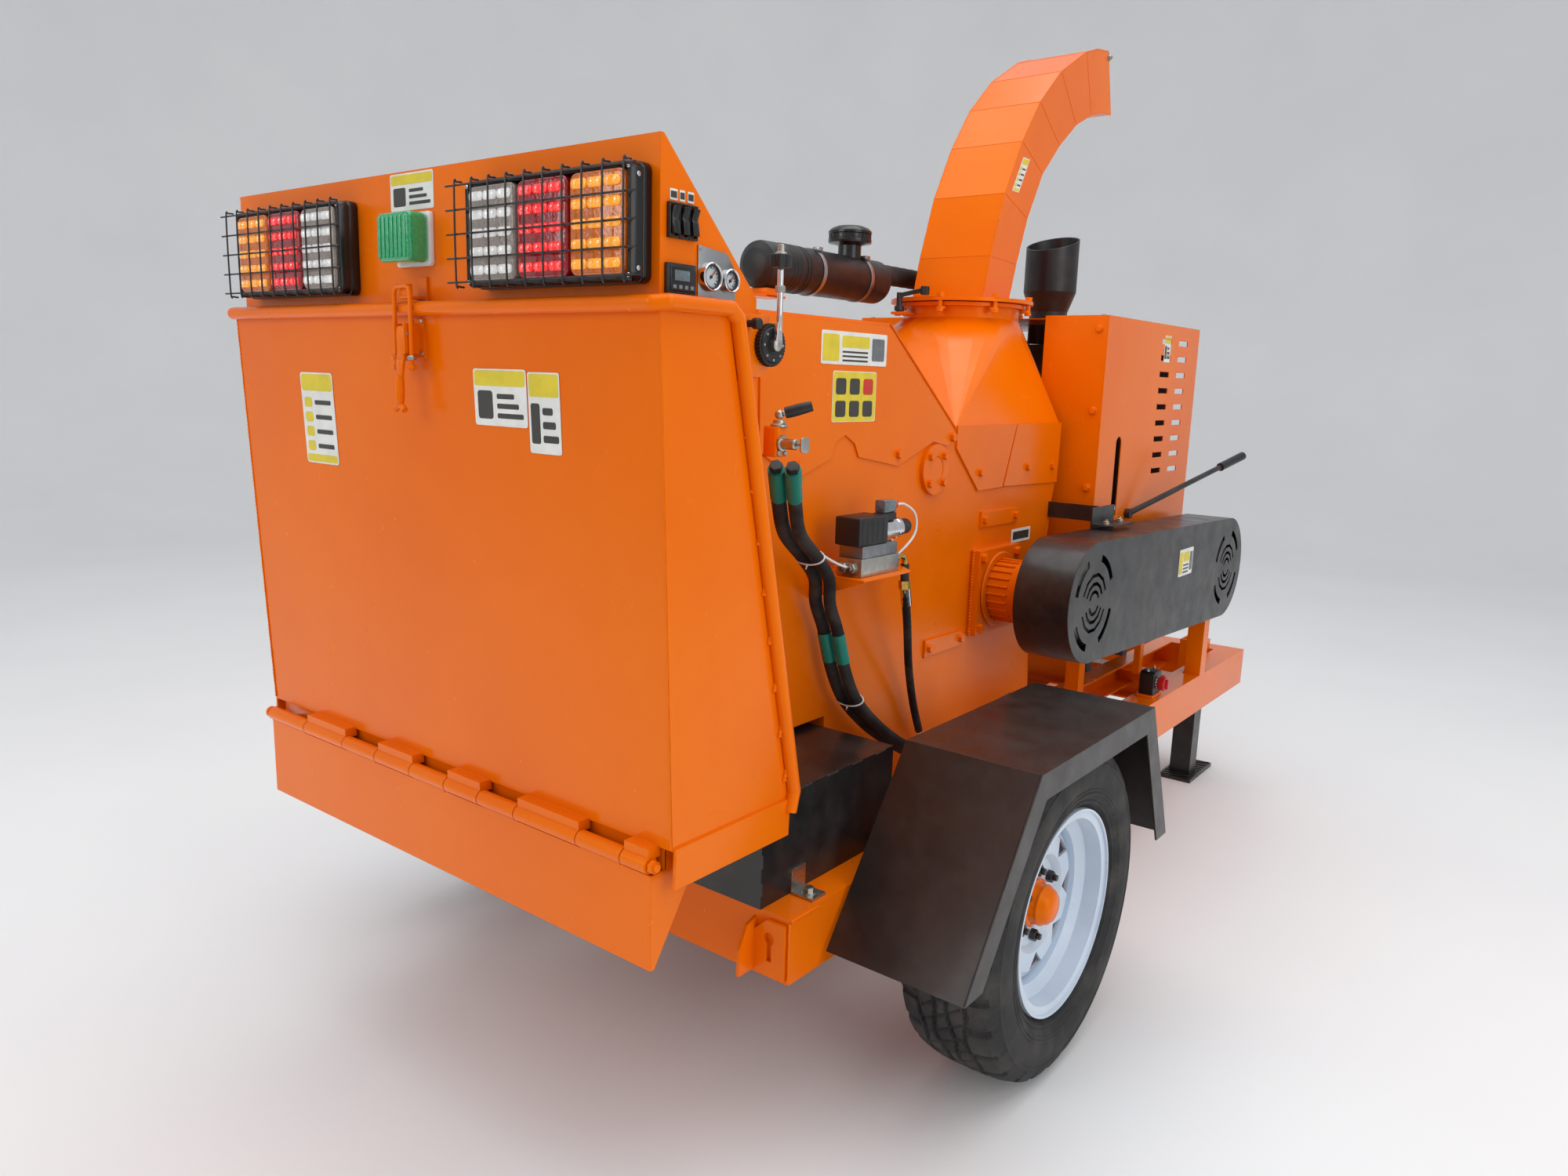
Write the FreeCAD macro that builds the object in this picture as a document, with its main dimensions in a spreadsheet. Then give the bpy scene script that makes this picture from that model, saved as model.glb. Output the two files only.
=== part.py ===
import FreeCAD, Part
import math
import os
import Sketcher
from FreeCAD import Vector, Placement, Rotation

# Trailer-mounted drum wood chipper, in millimetres.  +Z is up, +Y the towing
# direction (engine end), -Y the feed tray, +X the machine's right (drive belts).
# The origin is on the ground under the middle of the axle.

doc = FreeCAD.newDocument("wood_chipper")
sheet = doc.addObject("Spreadsheet::Sheet", "dims")
sheet_rows = []
PARTS = {}          # file name -> document object
SIDES = (1, -1)     # right, left


class Length:
    """A length that carries its value and the spreadsheet expression giving it."""

    def __init__(self, value, text):
        self.value = float(value)
        self.text = text

    @staticmethod
    def of(other):
        if isinstance(other, Length):
            return other
        text = "%.6g" % other
        return Length(other, text if other >= 0 else "(%s)" % text)

    def __add__(self, other):
        other = Length.of(other)
        return Length(self.value + other.value, "(%s + %s)" % (self.text, other.text))

    __radd__ = __add__

    def __sub__(self, other):
        other = Length.of(other)
        return Length(self.value - other.value, "(%s - %s)" % (self.text, other.text))

    def __rsub__(self, other):
        return Length.of(other) - self

    def __mul__(self, other):
        other = Length.of(other)
        return Length(self.value * other.value, "(%s * %s)" % (self.text, other.text))

    __rmul__ = __mul__

    def __neg__(self):
        return Length(-self.value, "(-1 * %s)" % self.text)


def dim(alias, value):
    """Adds a driving dimension to the spreadsheet."""
    sheet_rows.append(alias)
    row = len(sheet_rows)
    sheet.set("A%d" % row, alias)
    sheet.set("B%d" % row, "%.6g" % value)
    sheet.setAlias("B%d" % row, alias)
    return Length(value, "dims." + alias)


# -------------------------------------------------------- driving dimensions
rail_half = dim("rail_half", 545)          # outer face of the frame rails
rail_width = dim("rail_width", 80)
rail_top = dim("rail_top", 465)
rail_low = dim("rail_low", 343)
frame_rear = dim("frame_rear", -574)
frame_front = dim("frame_front", 2054)
rail_wall = dim("rail_wall", 5)
axle_z = dim("axle_z", 340)
tyre_rad = dim("tyre_rad", 340)
rim_plane = dim("rim_plane", 795)          # outer flange plane of each wheel
disc_plane = dim("disc_plane", 718)        # wheel disc seat on the hub
stud_circle = dim("stud_circle", 70)       # radius of the stud circle
fender_in = dim("fender_in", 555)
fender_out = dim("fender_out", 830)
fender_top = dim("fender_top", 702)
sheet_t = dim("sheet_t", 4)                # sheet of fenders, tanks and chute
tray_half = dim("tray_half", 555)
tray_top = dim("tray_top", 1442)
hinge_y = dim("hinge_y", -889)
hinge_z = dim("hinge_z", 667)
hinge_pin_r = dim("hinge_pin_r", 6)
knuckle_r = dim("knuckle_r", 13)
panel_half = dim("panel_half", 540)
panel_top = dim("panel_top", 1657)
plate_out = dim("plate_out", 295)          # outer face of the chipper side plates
plate_t = dim("plate_t", 12)
rotor_y = dim("rotor_y", 560)
rotor_z = dim("rotor_z", 850)
rotor_rad = dim("rotor_rad", 235)
shaft_r = dim("shaft_r", 40)
engine_y = dim("engine_y", 1620)           # engine output shaft
engine_z = dim("engine_z", 814)
guard_in = dim("guard_in", 435)
guard_out = dim("guard_out", 575)
guard_rear_r = dim("guard_rear_r", 148)
guard_front_r = dim("guard_front_r", 156)
rotor_pulley_r = dim("rotor_pulley_r", 112)
engine_pulley_r = dim("engine_pulley_r", 98)
low_roll_y = dim("low_roll_y", 110)
low_roll_z = dim("low_roll_z", 690)
low_roll_r = dim("low_roll_r", 108)        # over the fins
up_roll_y = dim("up_roll_y", 80)
up_roll_z = dim("up_roll_z", 1000)
up_roll_r = dim("up_roll_r", 128)          # over the fins
pivot_y = dim("pivot_y", 245)              # swing shaft of the upper roller
pivot_z = dim("pivot_z", 1165)
chute_y = dim("chute_y", 860)              # turning axis of the discharge chute
ring_z = dim("ring_z", 1563)
ring_r = dim("ring_r", 180)
chute_half = dim("chute_half", 110)
hood_half = dim("hood_half", 395)
hood_rear = dim("hood_rear", 950)
hood_front = dim("hood_front", 1705)
hood_top = dim("hood_top", 1550)
hood_low = dim("hood_low", 900)
tank_out = dim("tank_out", 485)
tank_top = dim("tank_top", 657)
tank_rear = dim("tank_rear", -580)
tank_front = dim("tank_front", -175)
filter_x = dim("filter_x", -180)
filter_z = dim("filter_z", 1627)
filter_r = dim("filter_r", 57)
jack_x = dim("jack_x", 410)
jack_y = dim("jack_y", 1936)
eye_y = dim("eye_y", 2132)                 # towing eye
eye_z = dim("eye_z", 298)
latch_x = dim("latch_x", 20)
doc.recompute()

# Values shared by several parts
fit_gap = 0.05                             # radial gap of a shaft in its bore
rail_in = rail_half - rail_width           # inner face of the frame rails
plate_in = plate_out - plate_t             # inner face of the chipper side plates
low_shaft_r = 25
up_shaft_r = 24
pivot_shaft_r = 30
cap_t = 10                                 # bearing caps of the swing shaft
cover_t = 4                                # cover plates on the side plates
strap_t = 6                                # four-cornered plates below them
skirt_t = 5                                # skirt plates of the discharge transition
bearing_t = 25                             # rotor bearing flanges
exhaust_x, exhaust_y = 35, 1350
switch_rows = (-872, -854, -836)           # Y of the rocker switches
lamp_spans = ((182, 526), (-494, -150))    # X from and to of the tail lamps


# ------------------------------------------------------------------- helpers
def number(length):
    return length.value if isinstance(length, Length) else float(length)


def bind(obj, prop, length):
    if isinstance(length, Length):
        obj.setExpression(prop, length.text)


def set_length(obj, prop, length):
    setattr(obj, prop, number(length))
    bind(obj, prop, length)


def add(kind, tag):
    return doc.addObject(kind, "%s_%03d" % (tag, len(doc.Objects)))


def place(obj, x, y, z, rotation=None):
    position = Vector(number(x), number(y), number(z))
    obj.Placement = Placement(position, rotation or Rotation())
    for axis, length in zip("xyz", (x, y, z)):
        bind(obj, "Placement.Base." + axis, length)
    return obj


TURN_TO = {"X": Rotation(Vector(0, 0, 1), Vector(1, 0, 0)),
           "Y": Rotation(Vector(0, 0, 1), Vector(0, 1, 0)),
           "Z": Rotation()}


def box(x0, x1, y0, y1, z0, z1):
    block = add("Part::Box", "box")
    set_length(block, "Length", x1 - x0)
    set_length(block, "Width", y1 - y0)
    set_length(block, "Height", z1 - z0)
    return place(block, x0, y0, z0)


def turned_box(axis_y, axis_z, degrees, x0, x1, y0, y1, z0, z1):
    """Box measured from an X-direction axis, then turned about that axis."""
    block = box(x0, x1, y0, y1, z0, z1)
    turn = Rotation(Vector(1, 0, 0), degrees)
    centre = Vector(0, number(axis_y), number(axis_z))
    corner = Vector(number(x0), number(y0), number(z0))
    block.Placement = Placement(centre + turn.multVec(corner), turn)
    return block


def cyl(axis, x, y, z, radius, length):
    """Cylinder starting at (x, y, z) and running along +axis."""
    rod = add("Part::Cylinder", "cyl")
    set_length(rod, "Radius", radius)
    set_length(rod, "Height", length)
    return place(rod, x, y, z, TURN_TO[axis])


def cone(axis, x, y, z, start_r, end_r, length):
    taper = add("Part::Cone", "cone")
    set_length(taper, "Radius1", start_r)
    set_length(taper, "Radius2", end_r)
    set_length(taper, "Height", length)
    return place(taper, x, y, z, TURN_TO[axis])


def hexagon(axis, x, y, z, corner_r, length):
    prism = add("Part::Prism", "hex")
    prism.Polygon = 6
    set_length(prism, "Circumradius", corner_r)
    set_length(prism, "Height", length)
    return place(prism, x, y, z, TURN_TO[axis])


def fuse(*objs):
    if len(objs) == 1:
        return objs[0]
    joined = add("Part::MultiFuse", "fuse")
    joined.Shapes = list(objs)
    return joined


def cut(base, *tools):
    result = add("Part::Cut", "cut")
    result.Base = base
    result.Tool = fuse(*tools)
    return result


def group(*objs):
    """Separate solids kept side by side in one part."""
    compound = add("Part::Compound", "group")
    compound.Links = list(objs)
    return compound


def mirror(obj):
    """Copy on the other side of the X = 0 plane."""
    copy = add("Part::Mirroring", "mirror")
    copy.Source = obj
    copy.Normal = Vector(1, 0, 0)
    copy.Base = Vector(0, 0, 0)
    return copy


def sketch_on(body, plane, loops, circles=()):
    """Fully placed sketch: every corner and centre is tied to the origin."""
    sketch = body.newObject("Sketcher::SketchObject", "sketch_%03d" % len(doc.Objects))
    support = [f for f in body.Origin.OriginFeatures if f.Role == plane + "_Plane"][0]
    sketch.AttachmentSupport = [(support, "")]
    sketch.MapMode = "FlatFace"

    def tie(kind, edge, point, length):
        size = number(length)
        if abs(size) < 1e-9:
            axis = -2 if kind == "DistanceX" else -1
            sketch.addConstraint(Sketcher.Constraint("PointOnObject", edge, point, axis))
            return
        # a negative distance is measured from the point back to the origin
        if size > 0:
            ends, sign = (-1, 1, edge, point), ""
        else:
            ends, sign = (edge, point, -1, 1), "-1 * "
        index = sketch.addConstraint(Sketcher.Constraint(kind, *ends, abs(size)))
        if isinstance(length, Length):
            sketch.setExpression("Constraints[%d]" % index, sign + length.text)

    for points in loops:
        first = sketch.GeometryCount
        count = len(points)
        corners = [Vector(number(u), number(v), 0) for u, v in points]
        for i in range(count):
            edge = Part.LineSegment(corners[i], corners[(i + 1) % count])
            sketch.addGeometry(edge, False)
        for i in range(count):
            following = first + (i + 1) % count
            sketch.addConstraint(Sketcher.Constraint("Coincident", first + i, 2, following, 1))
        for i, (u, v) in enumerate(points):
            tie("DistanceX", first + i, 1, u)
            tie("DistanceY", first + i, 1, v)
    for u, v, radius in circles:
        centre = Vector(number(u), number(v), 0)
        circle = Part.Circle(centre, Vector(0, 0, 1), number(radius))
        edge = sketch.addGeometry(circle, False)
        index = sketch.addConstraint(Sketcher.Constraint("Radius", edge, number(radius)))
        bind(sketch, "Constraints[%d]" % index, radius)
        tie("DistanceX", edge, 3, u)
        tie("DistanceY", edge, 3, v)
    sketch.Visibility = False
    return sketch


def pad(plane, outline, start, length, holes=(), circles=()):
    """Outline padded from start to start + length along the plane's third axis."""
    body = add("PartDesign::Body", "body")
    sketch = sketch_on(body, plane, [outline, *holes], circles)
    feature = body.newObject("PartDesign::Pad", "pad_%03d" % len(doc.Objects))
    feature.Profile = sketch
    set_length(feature, "Length", length)
    if plane == "YZ":
        return place(body, start, 0, 0)
    if plane == "XY":
        return place(body, 0, 0, start)
    return place(body, 0, start + length, 0)     # an XZ pad grows towards -Y


def revolve_x(profile, z):
    """Profile in (x, radius) turned about the X direction at height z."""
    body = add("PartDesign::Body", "body")
    sketch = sketch_on(body, "XZ", [profile])
    turn = body.newObject("PartDesign::Revolution", "turn_%03d" % len(doc.Objects))
    turn.Profile = sketch
    turn.ReferenceAxis = (sketch, ["H_Axis"])
    turn.Angle = 360
    return place(body, 0, 0, z)


def shape_object(shape):
    obj = add("Part::Feature", "shape")
    obj.Shape = shape
    return obj


def bar(points, radius):
    """Round bar of straight runs with ball corners."""
    path = [Vector(*[number(c) for c in point]) for point in points]
    solid = None
    for i, (start, end) in enumerate(zip(path, path[1:])):
        run = end - start
        piece = Part.makeCylinder(radius, run.Length, start, run)
        solid = piece if solid is None else solid.fuse(piece)
        if i > 0:
            solid = solid.fuse(Part.makeSphere(radius, start))
    return shape_object(solid)


def flat_plate(points, thickness):
    """Flat plate thickened along the normal of its first three corners."""
    corners = [Vector(*point) for point in points]
    normal = (corners[1] - corners[0]).cross(corners[2] - corners[0])
    normal.normalize()
    face = Part.Face(Part.makePolygon(corners + [corners[0]]))
    return shape_object(face.extrude(normal * thickness))


def link_hull(x0, x1, circle_a, circle_b):
    """Solid around two X-direction circles (y, z, radius) and their tangents."""
    ya, za, ra = [number(c) for c in circle_a]
    yb, zb, rb = [number(c) for c in circle_b]
    slope = math.atan2(zb - za, yb - ya)
    spread = math.acos((ra - rb) / math.hypot(zb - za, yb - ya))
    tangents = []
    for side in SIDES:
        uy, uz = math.cos(slope + side * spread), math.sin(slope + side * spread)
        tangents.append([(ya + ra * uy, za + ra * uz), (yb + rb * uy, zb + rb * uz)])
    (upper_a, upper_b), (lower_a, lower_b) = tangents
    return fuse(cyl("X", x0, *circle_a, x1 - x0),
                cyl("X", x0, *circle_b, x1 - x0),
                pad("YZ", [upper_a, upper_b, lower_b, lower_a], x0, x1 - x0))


def polar(centre_u, centre_v, radius, degrees):
    angle = math.radians(degrees)
    return (number(centre_u) + number(radius) * math.cos(angle),
            number(centre_v) + number(radius) * math.sin(angle))


def side_start(side, x0, length):
    """Lower X of a piece that runs outwards by length from x0 on the given side."""
    return x0 if side > 0 else -x0 - length


def side_span(side, x0, x1):
    """X range x0..x1 of the right side, or its mirror image."""
    return (x0, x1) if side > 0 else (-x1, -x0)


def shifted(plane, table):
    """Turns (x from plane, radius) rows into (x, radius)."""
    return [(plane + dx, radius) for dx, radius in table]


def part(build):
    """Decorator: builds the part now and keeps it under the function's name."""
    PARTS[build.__name__] = build()
    return PARTS[build.__name__]


# ------------------------------------------------------------- chassis frame
def rail_ring():
    """Rectangle of hollow rails, with a drain hole under each side rail."""
    inner = [(-rail_in, frame_rear + rail_width), (rail_in, frame_rear + rail_width),
             (rail_in, frame_front - rail_width), (-rail_in, frame_front - rail_width)]
    outer = [(-rail_half, frame_rear), (rail_half, frame_rear),
             (rail_half, frame_front), (-rail_half, frame_front)]
    ring = pad("XY", outer, rail_low, rail_top - rail_low, holes=[inner])
    z0, z1 = rail_low + rail_wall, rail_top - rail_wall
    voids = []
    for side in SIDES:
        x0, x1 = side_span(side, rail_in + rail_wall, rail_half - rail_wall)
        voids.append(box(x0, x1, frame_rear + rail_wall, frame_front - rail_wall, z0, z1))
        voids.append(cyl("Z", side * 505, 700, rail_low - 5, 8, 20))
    for y in (frame_rear, frame_front - rail_width):
        voids.append(box(-rail_in - 10, rail_in + 10, y + rail_wall,
                         y + rail_width - rail_wall, z0, z1))
    return cut(ring, *voids)


def cross_member(y0):
    """C-section cross member, open towards -Y."""
    wall = 6
    y1 = y0 + 60
    z0, z1 = rail_low, rail_top - 20
    outline = [(y0, z0), (y1, z0), (y1, z1), (y0, z1), (y0, z1 - wall),
               (y1 - wall, z1 - wall), (y1 - wall, z0 + wall), (y0, z0 + wall)]
    return pad("YZ", outline, -rail_in, rail_in * 2)


def bearer(side):
    """Lengthways C-section under the chipper and engine, open outwards."""
    web, web_out, edge = side * 255, side * 261, side * 315
    outline = [(web, rail_low + 42), (edge, rail_low + 42), (edge, rail_low + 48),
               (web_out, rail_low + 48), (web_out, rail_top - 6), (edge, rail_top - 6),
               (edge, rail_top), (web, rail_top)]
    return pad("XZ", outline, frame_rear + rail_width - 2,
               frame_front - frame_rear - rail_width * 2 + 4)


def jack_tube(side):
    x = side * jack_x
    outer, inner = 40, 36
    return cut(box(x - outer, x + outer, jack_y - outer, frame_front - rail_width + 1, 290, 500),
               box(x - inner, x + inner, jack_y - inner, jack_y + inner, 280, 510))


def keyhole_plate(side):
    """Plate with a keyhole on the rear rail, and its gusset."""
    hole_x, gusset_x = side * 507, side * 470
    outline = [(gusset_x, 352), (side * 540, 352), (side * 540, 452),
               (side * 500, 452), (gusset_x, 425)]
    plate = cut(pad("XZ", outline, -582, 9),
                cyl("Y", hole_x, -590, 420, 11, 30),
                box(hole_x - 5, hole_x + 5, -590, -560, 378, 420))
    gusset = [(-620, 352), (-573, 352), (-573, 448), (-598, 440), (-620, 400)]
    return [plate, pad("YZ", gusset, gusset_x - 3, 6)]


def axle():
    """Square beam under the rails, end plates and spindles."""
    beam_low = rail_low - 60
    pieces = [box(-548, 548, -30, 30, beam_low, rail_low + 0.5)]
    for side in SIDES:
        pieces.append(box(*side_span(side, 547, 566), -42, 42, beam_low, 392))
        pieces.append(cyl("X", side_start(side, 560, 182), 0, axle_z, 20, 182))
    return pieces


@part
def chassis_frame():
    receiver = cut(box(-45, 45, 900, frame_front, eye_z - 45, rail_low + 1),
                   box(-36, 36, 890, frame_front + 10, eye_z - 36, eye_z + 36))
    guard_post = box(495, rail_half, 1565, 1615, rail_top - 1, 652)
    members = [cross_member(y) for y in (-40, 420, 1000, 1560)]
    bearers = [bearer(side) for side in SIDES]
    jack_tubes = [jack_tube(side) for side in SIDES]
    return fuse(rail_ring(), receiver, guard_post, *members, *bearers, *jack_tubes,
                *keyhole_plate(1), *keyhole_plate(-1), *axle())


# -------------------------------------------------------------------- wheels
# Hub, cap and disc rows: (x from the disc seat, radius)
HUB = [(-118, 20 + fit_gap), (-118, 46), (-14, 46), (-14, 84), (0, 84), (0, 32),
       (27, 32), (27, 20 + fit_gap)]
HUB_CAP = [(6, 33), (6, 50), (12, 50), (15, 41), (48, 38), (66, 33), (77, 20), (81, 0),
           (52, 0), (50, 33)]
WHEEL_DISC = [(0, 32.5), (0, 92), (14, 104), (14, 134), (2, 150), (-12, 163.5),
              (-2, 163.5), (8, 154), (20, 137), (20, 101), (6, 89), (6, 32.5)]
# Rim barrel rows: (x from the outer flange, radius), tyre side then inner side
RIM_BARREL = [(0, 208), (-9, 209), (-11, 192), (-44, 189), (-58, 168), (-112, 166),
              (-128, 189), (-170, 192), (-172, 209), (-181, 208),
              (-181, 203), (-176, 203), (-174, 186), (-132, 184), (-116, 161),
              (-56, 163), (-41, 184), (-7, 187), (-5, 203), (0, 203)]
# Right half of the tyre section, bead to tread: (x from the tyre's middle, radius)
groove_r = tyre_rad - 9
TYRE_OUTSIDE = [(78, 192.8), (79.5, 211), (93, 222), (101, 240), (104, 268), (101, 296),
                (95, 314), (86, 330), (72, 338), (44, 339.5), (44, groove_r),
                (37, groove_r), (37, tyre_rad), (4, tyre_rad), (4, groove_r)]
TYRE_INSIDE = [(68, 193.8), (70, 215), (82, 228), (90, 243), (92, 268), (89, 293),
               (78, 314), (60, 324)]


@part
def wheel_hub_right():
    pieces = [revolve_x(shifted(disc_plane, HUB), axle_z),
              revolve_x(shifted(disc_plane, HUB_CAP), axle_z)]
    for i in range(6):
        y, z = polar(0, axle_z, stud_circle, 60 * i + 30)
        pieces.append(fuse(hexagon("X", disc_plane + 6, y, z, 12.5, 13),
                           cyl("X", disc_plane + 16, y, z, 6.5, 10)))
    return group(*pieces)


@part
def wheel_rim_right():
    barrel = revolve_x(shifted(rim_plane, RIM_BARREL), axle_z)
    disc = revolve_x(shifted(disc_plane, WHEEL_DISC), axle_z)
    windows = []
    for i in range(8):
        outline = [polar(0, axle_z, radius, 45 * i + offset)
                   for radius, offset in ((104, 0), (142, 13), (142, -13))]
        windows.append(pad("YZ", outline, disc_plane - 20, 60))
    return cut(fuse(barrel, disc), *windows)


@part
def tyre_right():
    outside = TYRE_OUTSIDE + [(-dx, radius) for dx, radius in reversed(TYRE_OUTSIDE)]
    inside = [(-dx, radius) for dx, radius in TYRE_INSIDE] + TYRE_INSIDE[::-1]
    return revolve_x(shifted(rim_plane - 90.5, outside + inside), axle_z)


PARTS["wheel_hub_left"] = mirror(wheel_hub_right)
PARTS["wheel_rim_left"] = mirror(wheel_rim_right)
PARTS["tyre_left"] = mirror(tyre_right)


# --------------------------------------------------------- fenders and tanks
@part
def fenders():
    """Bent sheet over each wheel, with a deep lip on its outer edge."""
    low, lip_top = 372, fender_top - 52
    under = fender_top - sheet_t
    outer = [(-480, low), (-245, fender_top), (300, fender_top), (455, low)]
    inner = [(449.5, low), (297.5, under), (-242.9, under), (-474.8, low)]
    lip_inner = [(396, low), (268, lip_top), (-220, lip_top), (-420, low)]
    right = fuse(pad("YZ", outer + inner, fender_in, fender_out - fender_in),
                 pad("YZ", outer + lip_inner, fender_out - sheet_t, sheet_t))
    return group(right, mirror(right))


def tank(x0, x1, neck_x, neck_y, neck_r, neck_length):
    """Hollow sheet tank with an open filler neck."""
    return cut(fuse(box(x0, x1, tank_rear, tank_front, rail_top, tank_top),
                    cyl("Z", neck_x, neck_y, tank_top - 1, neck_r, neck_length)),
               box(x0 + sheet_t, x1 - sheet_t, tank_rear + sheet_t, tank_front - sheet_t,
                   rail_top + sheet_t, tank_top - sheet_t),
               cyl("Z", neck_x, neck_y, tank_top - 10, neck_r - 8, 30))


PARTS["hydraulic_tank"] = tank(40, tank_out, neck_x=120, neck_y=-300, neck_r=28, neck_length=8)
PARTS["fuel_tank"] = tank(-tank_out, -40, neck_x=-420, neck_y=-230, neck_r=32, neck_length=9)


@part
def mounting_brackets():
    """Bolted angles beside the tanks, and angles under the fenders."""
    half = 20
    pieces = []
    for side in SIDES:
        bolt_x = side * (tank_out + 28)
        foot = side_span(side, tank_out, tank_out + 51)
        upright = side_span(side, tank_out, tank_out + 5)
        for y in (-480, -215):
            pieces.append(fuse(box(*foot, y - half, y + half, rail_top, rail_top + 5),
                               box(*upright, y - half, y + half, rail_top, rail_top + 46),
                               hexagon("Z", bolt_x, y, rail_top + 4, 9.5, 11),
                               cyl("Z", bolt_x, y, rail_top + 4, 13, 3)))
        upright = side_span(side, rail_half, rail_half + 6)
        arm = side_span(side, rail_half, rail_half + 95)
        under = fender_top - sheet_t
        for y in (-170, 180):
            pieces.append(fuse(box(*upright, y - half, y + half, 400, under),
                               box(*arm, y - half, y + half, under - 6, under)))
    return group(*pieces)


# ------------------------------------------------- infeed hopper and its tray
mouth_half, throat_half = 541, 286         # half widths of the funnel
mouth_y, throat_y = -868, -396
hopper_floor, hopper_roof = 706, 1440
lip_half = 533


def funnel():
    walls = []
    for side in SIDES:
        mouth_x, throat_x = side * mouth_half, side * throat_half
        bend_low = (mouth_x, -641, hopper_floor)
        bend_top = (mouth_x, -700, hopper_roof)
        throat_top = (throat_x, throat_y, hopper_roof)
        walls.append(flat_plate([(mouth_x, mouth_y, hopper_floor), (mouth_x, -640, hopper_floor),
                                 bend_top, (mouth_x, mouth_y, hopper_roof)], -4 * side))
        walls.append(flat_plate([bend_low, (throat_x, throat_y, 800), throat_top], -5 * side))
        walls.append(flat_plate([bend_low, throat_top, bend_top], -5 * side))
    floor = pad("YZ", [(mouth_y, 700), (-640, 700), (throat_y, 795), (throat_y, 801),
                       (-641, hopper_floor), (mouth_y, hopper_floor)],
                -mouth_half, mouth_half * 2)
    floor_trim = [pad("XY", [(side * 548, -638), (side * 548, -390), (side * 285, -390)],
                      690, 130) for side in SIDES]
    roof = pad("YZ", [(mouth_y, hopper_roof), (throat_y, hopper_roof),
                      (throat_y, hopper_roof + 4), (mouth_y, hopper_roof + 4)],
               -mouth_half, mouth_half * 2)
    roof_trim = [pad("XY", [(side * 548, -700), (side * 548, -390), (side * throat_half, -390)],
                     1430, 30) for side in SIDES]
    return fuse(cut(floor, *floor_trim), cut(roof, *roof_trim), *walls)


def lower_lip():
    """Apron below the hinge: front sheet, sloping sheet, gussets and props."""
    gusset = [(-889, 505), (-797, 653), (-889, 653)]
    slope = [(-889, 505), (-885, 505), (-792, 653), (-797, 653)]
    props = [box(x0, x1, -865, -780, 649, 703)
             for x0, x1 in ((-lip_half, -525), (525, lip_half), (-30, 30))]
    return fuse(box(-lip_half, lip_half, -893, -889, 505, 653),
                pad("YZ", slope, -lip_half, lip_half * 2),
                pad("YZ", gusset, lip_half - 4, 4),
                pad("YZ", gusset, -lip_half, 4),
                box(-lip_half, lip_half, -865, -797, 649, 653), *props)


def knuckle(x0, x1, *leaf):
    """Hinge knuckle with its leaf (y0, y1, z0, z1), bored for the pin."""
    return cut(fuse(cyl("X", x0, hinge_y, hinge_z, knuckle_r, x1 - x0),
                    box(x0, x1, *leaf)),
               cyl("X", x0 - 5, hinge_y, hinge_z, hinge_pin_r + fit_gap, x1 - x0 + 10))


@part
def infeed_hopper():
    spans = [(-533, -400), (-262, -158), (-48, 50), (142, 234), (382, 476)]
    knuckles = [knuckle(x0, x1, -893, -885, 650, 660) for x0, x1 in spans]
    return fuse(funnel(), lower_lip(), *knuckles)


@part
def tray_hinge_pin():
    return fuse(cyl("X", -540, hinge_y, hinge_z, hinge_pin_r, 1083),
                cyl("X", -546, hinge_y, hinge_z, 11, 6),
                hexagon("X", 530, hinge_y, hinge_z, 10.5, 8))


latch_y, latch_z = -928, 1408              # pivot of the latch lever


def latch_base():
    """Plate on the tray face with two pivot ears."""
    ears = [box(latch_x + dx, latch_x + dx + 4, -936, -899, 1378, 1424) for dx in (-14, 12)]
    base = fuse(box(latch_x - 8, latch_x + 26, -908, -899, 1372, 1432), *ears,
                box(latch_x - 14, latch_x + 16, -906, -899, 1378, 1424))
    return cut(base, cyl("X", latch_x - 20, latch_y, latch_z, 4 + fit_gap, 50))


@part
def feed_tray():
    """Tray folded up over the hopper mouth, edged with a round bar."""
    face = pad("YZ", [(-905, tray_top), (-872, 690), (-868, 690), (-900, tray_top)],
               -tray_half, tray_half * 2)
    walls = []
    for side in SIDES:
        walls.append(pad("YZ", [(-905, tray_top), (-872, 690), (-604, 690), (-772, tray_top)],
                         side_start(side, tray_half - 5, 5), 5))
        walls.append(pad("YZ", [(-872, 632), (-607, 632), (-604, 694), (-870, 694)],
                         side_start(side, tray_half, 5), 5))
    spans = [(-398, -264), (-156, -50), (52, 140), (236, 380), (478, 528)]
    knuckles = [knuckle(x0, x1, -893, -869, 676, 693) for x0, x1 in spans]
    bar_x = tray_half + 6
    half_bar = [(bar_x, -606, 672), (bar_x, -597, 705), (bar_x, -760, 1436),
                (bar_x, -776, 1449), (bar_x, -898, 1449), (548, -913, 1447)]
    edge_bar = bar(half_bar + [(-x, y, z) for x, y, z in reversed(half_bar)], 11)
    return fuse(face, edge_bar, latch_base(), *walls, *knuckles)


@part
def latch_lever():
    """Lever pivoting between the ears, with its grip hanging down."""
    grip_x = latch_x - 4
    return fuse(cyl("X", latch_x - 15, latch_y, latch_z, 4, 32),
                box(latch_x - 9, latch_x + 11, -935, -921, 1366, 1418),
                box(latch_x - 5, latch_x + 5, -938, -926, 1340, 1368),
                cyl("Z", grip_x, -934, 1290, 7.5, 52),
                cyl("Y", grip_x, -946, 1290, 6, 24),
                hexagon("X", latch_x + 16.5, latch_y, latch_z, 6, 1.5))


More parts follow.
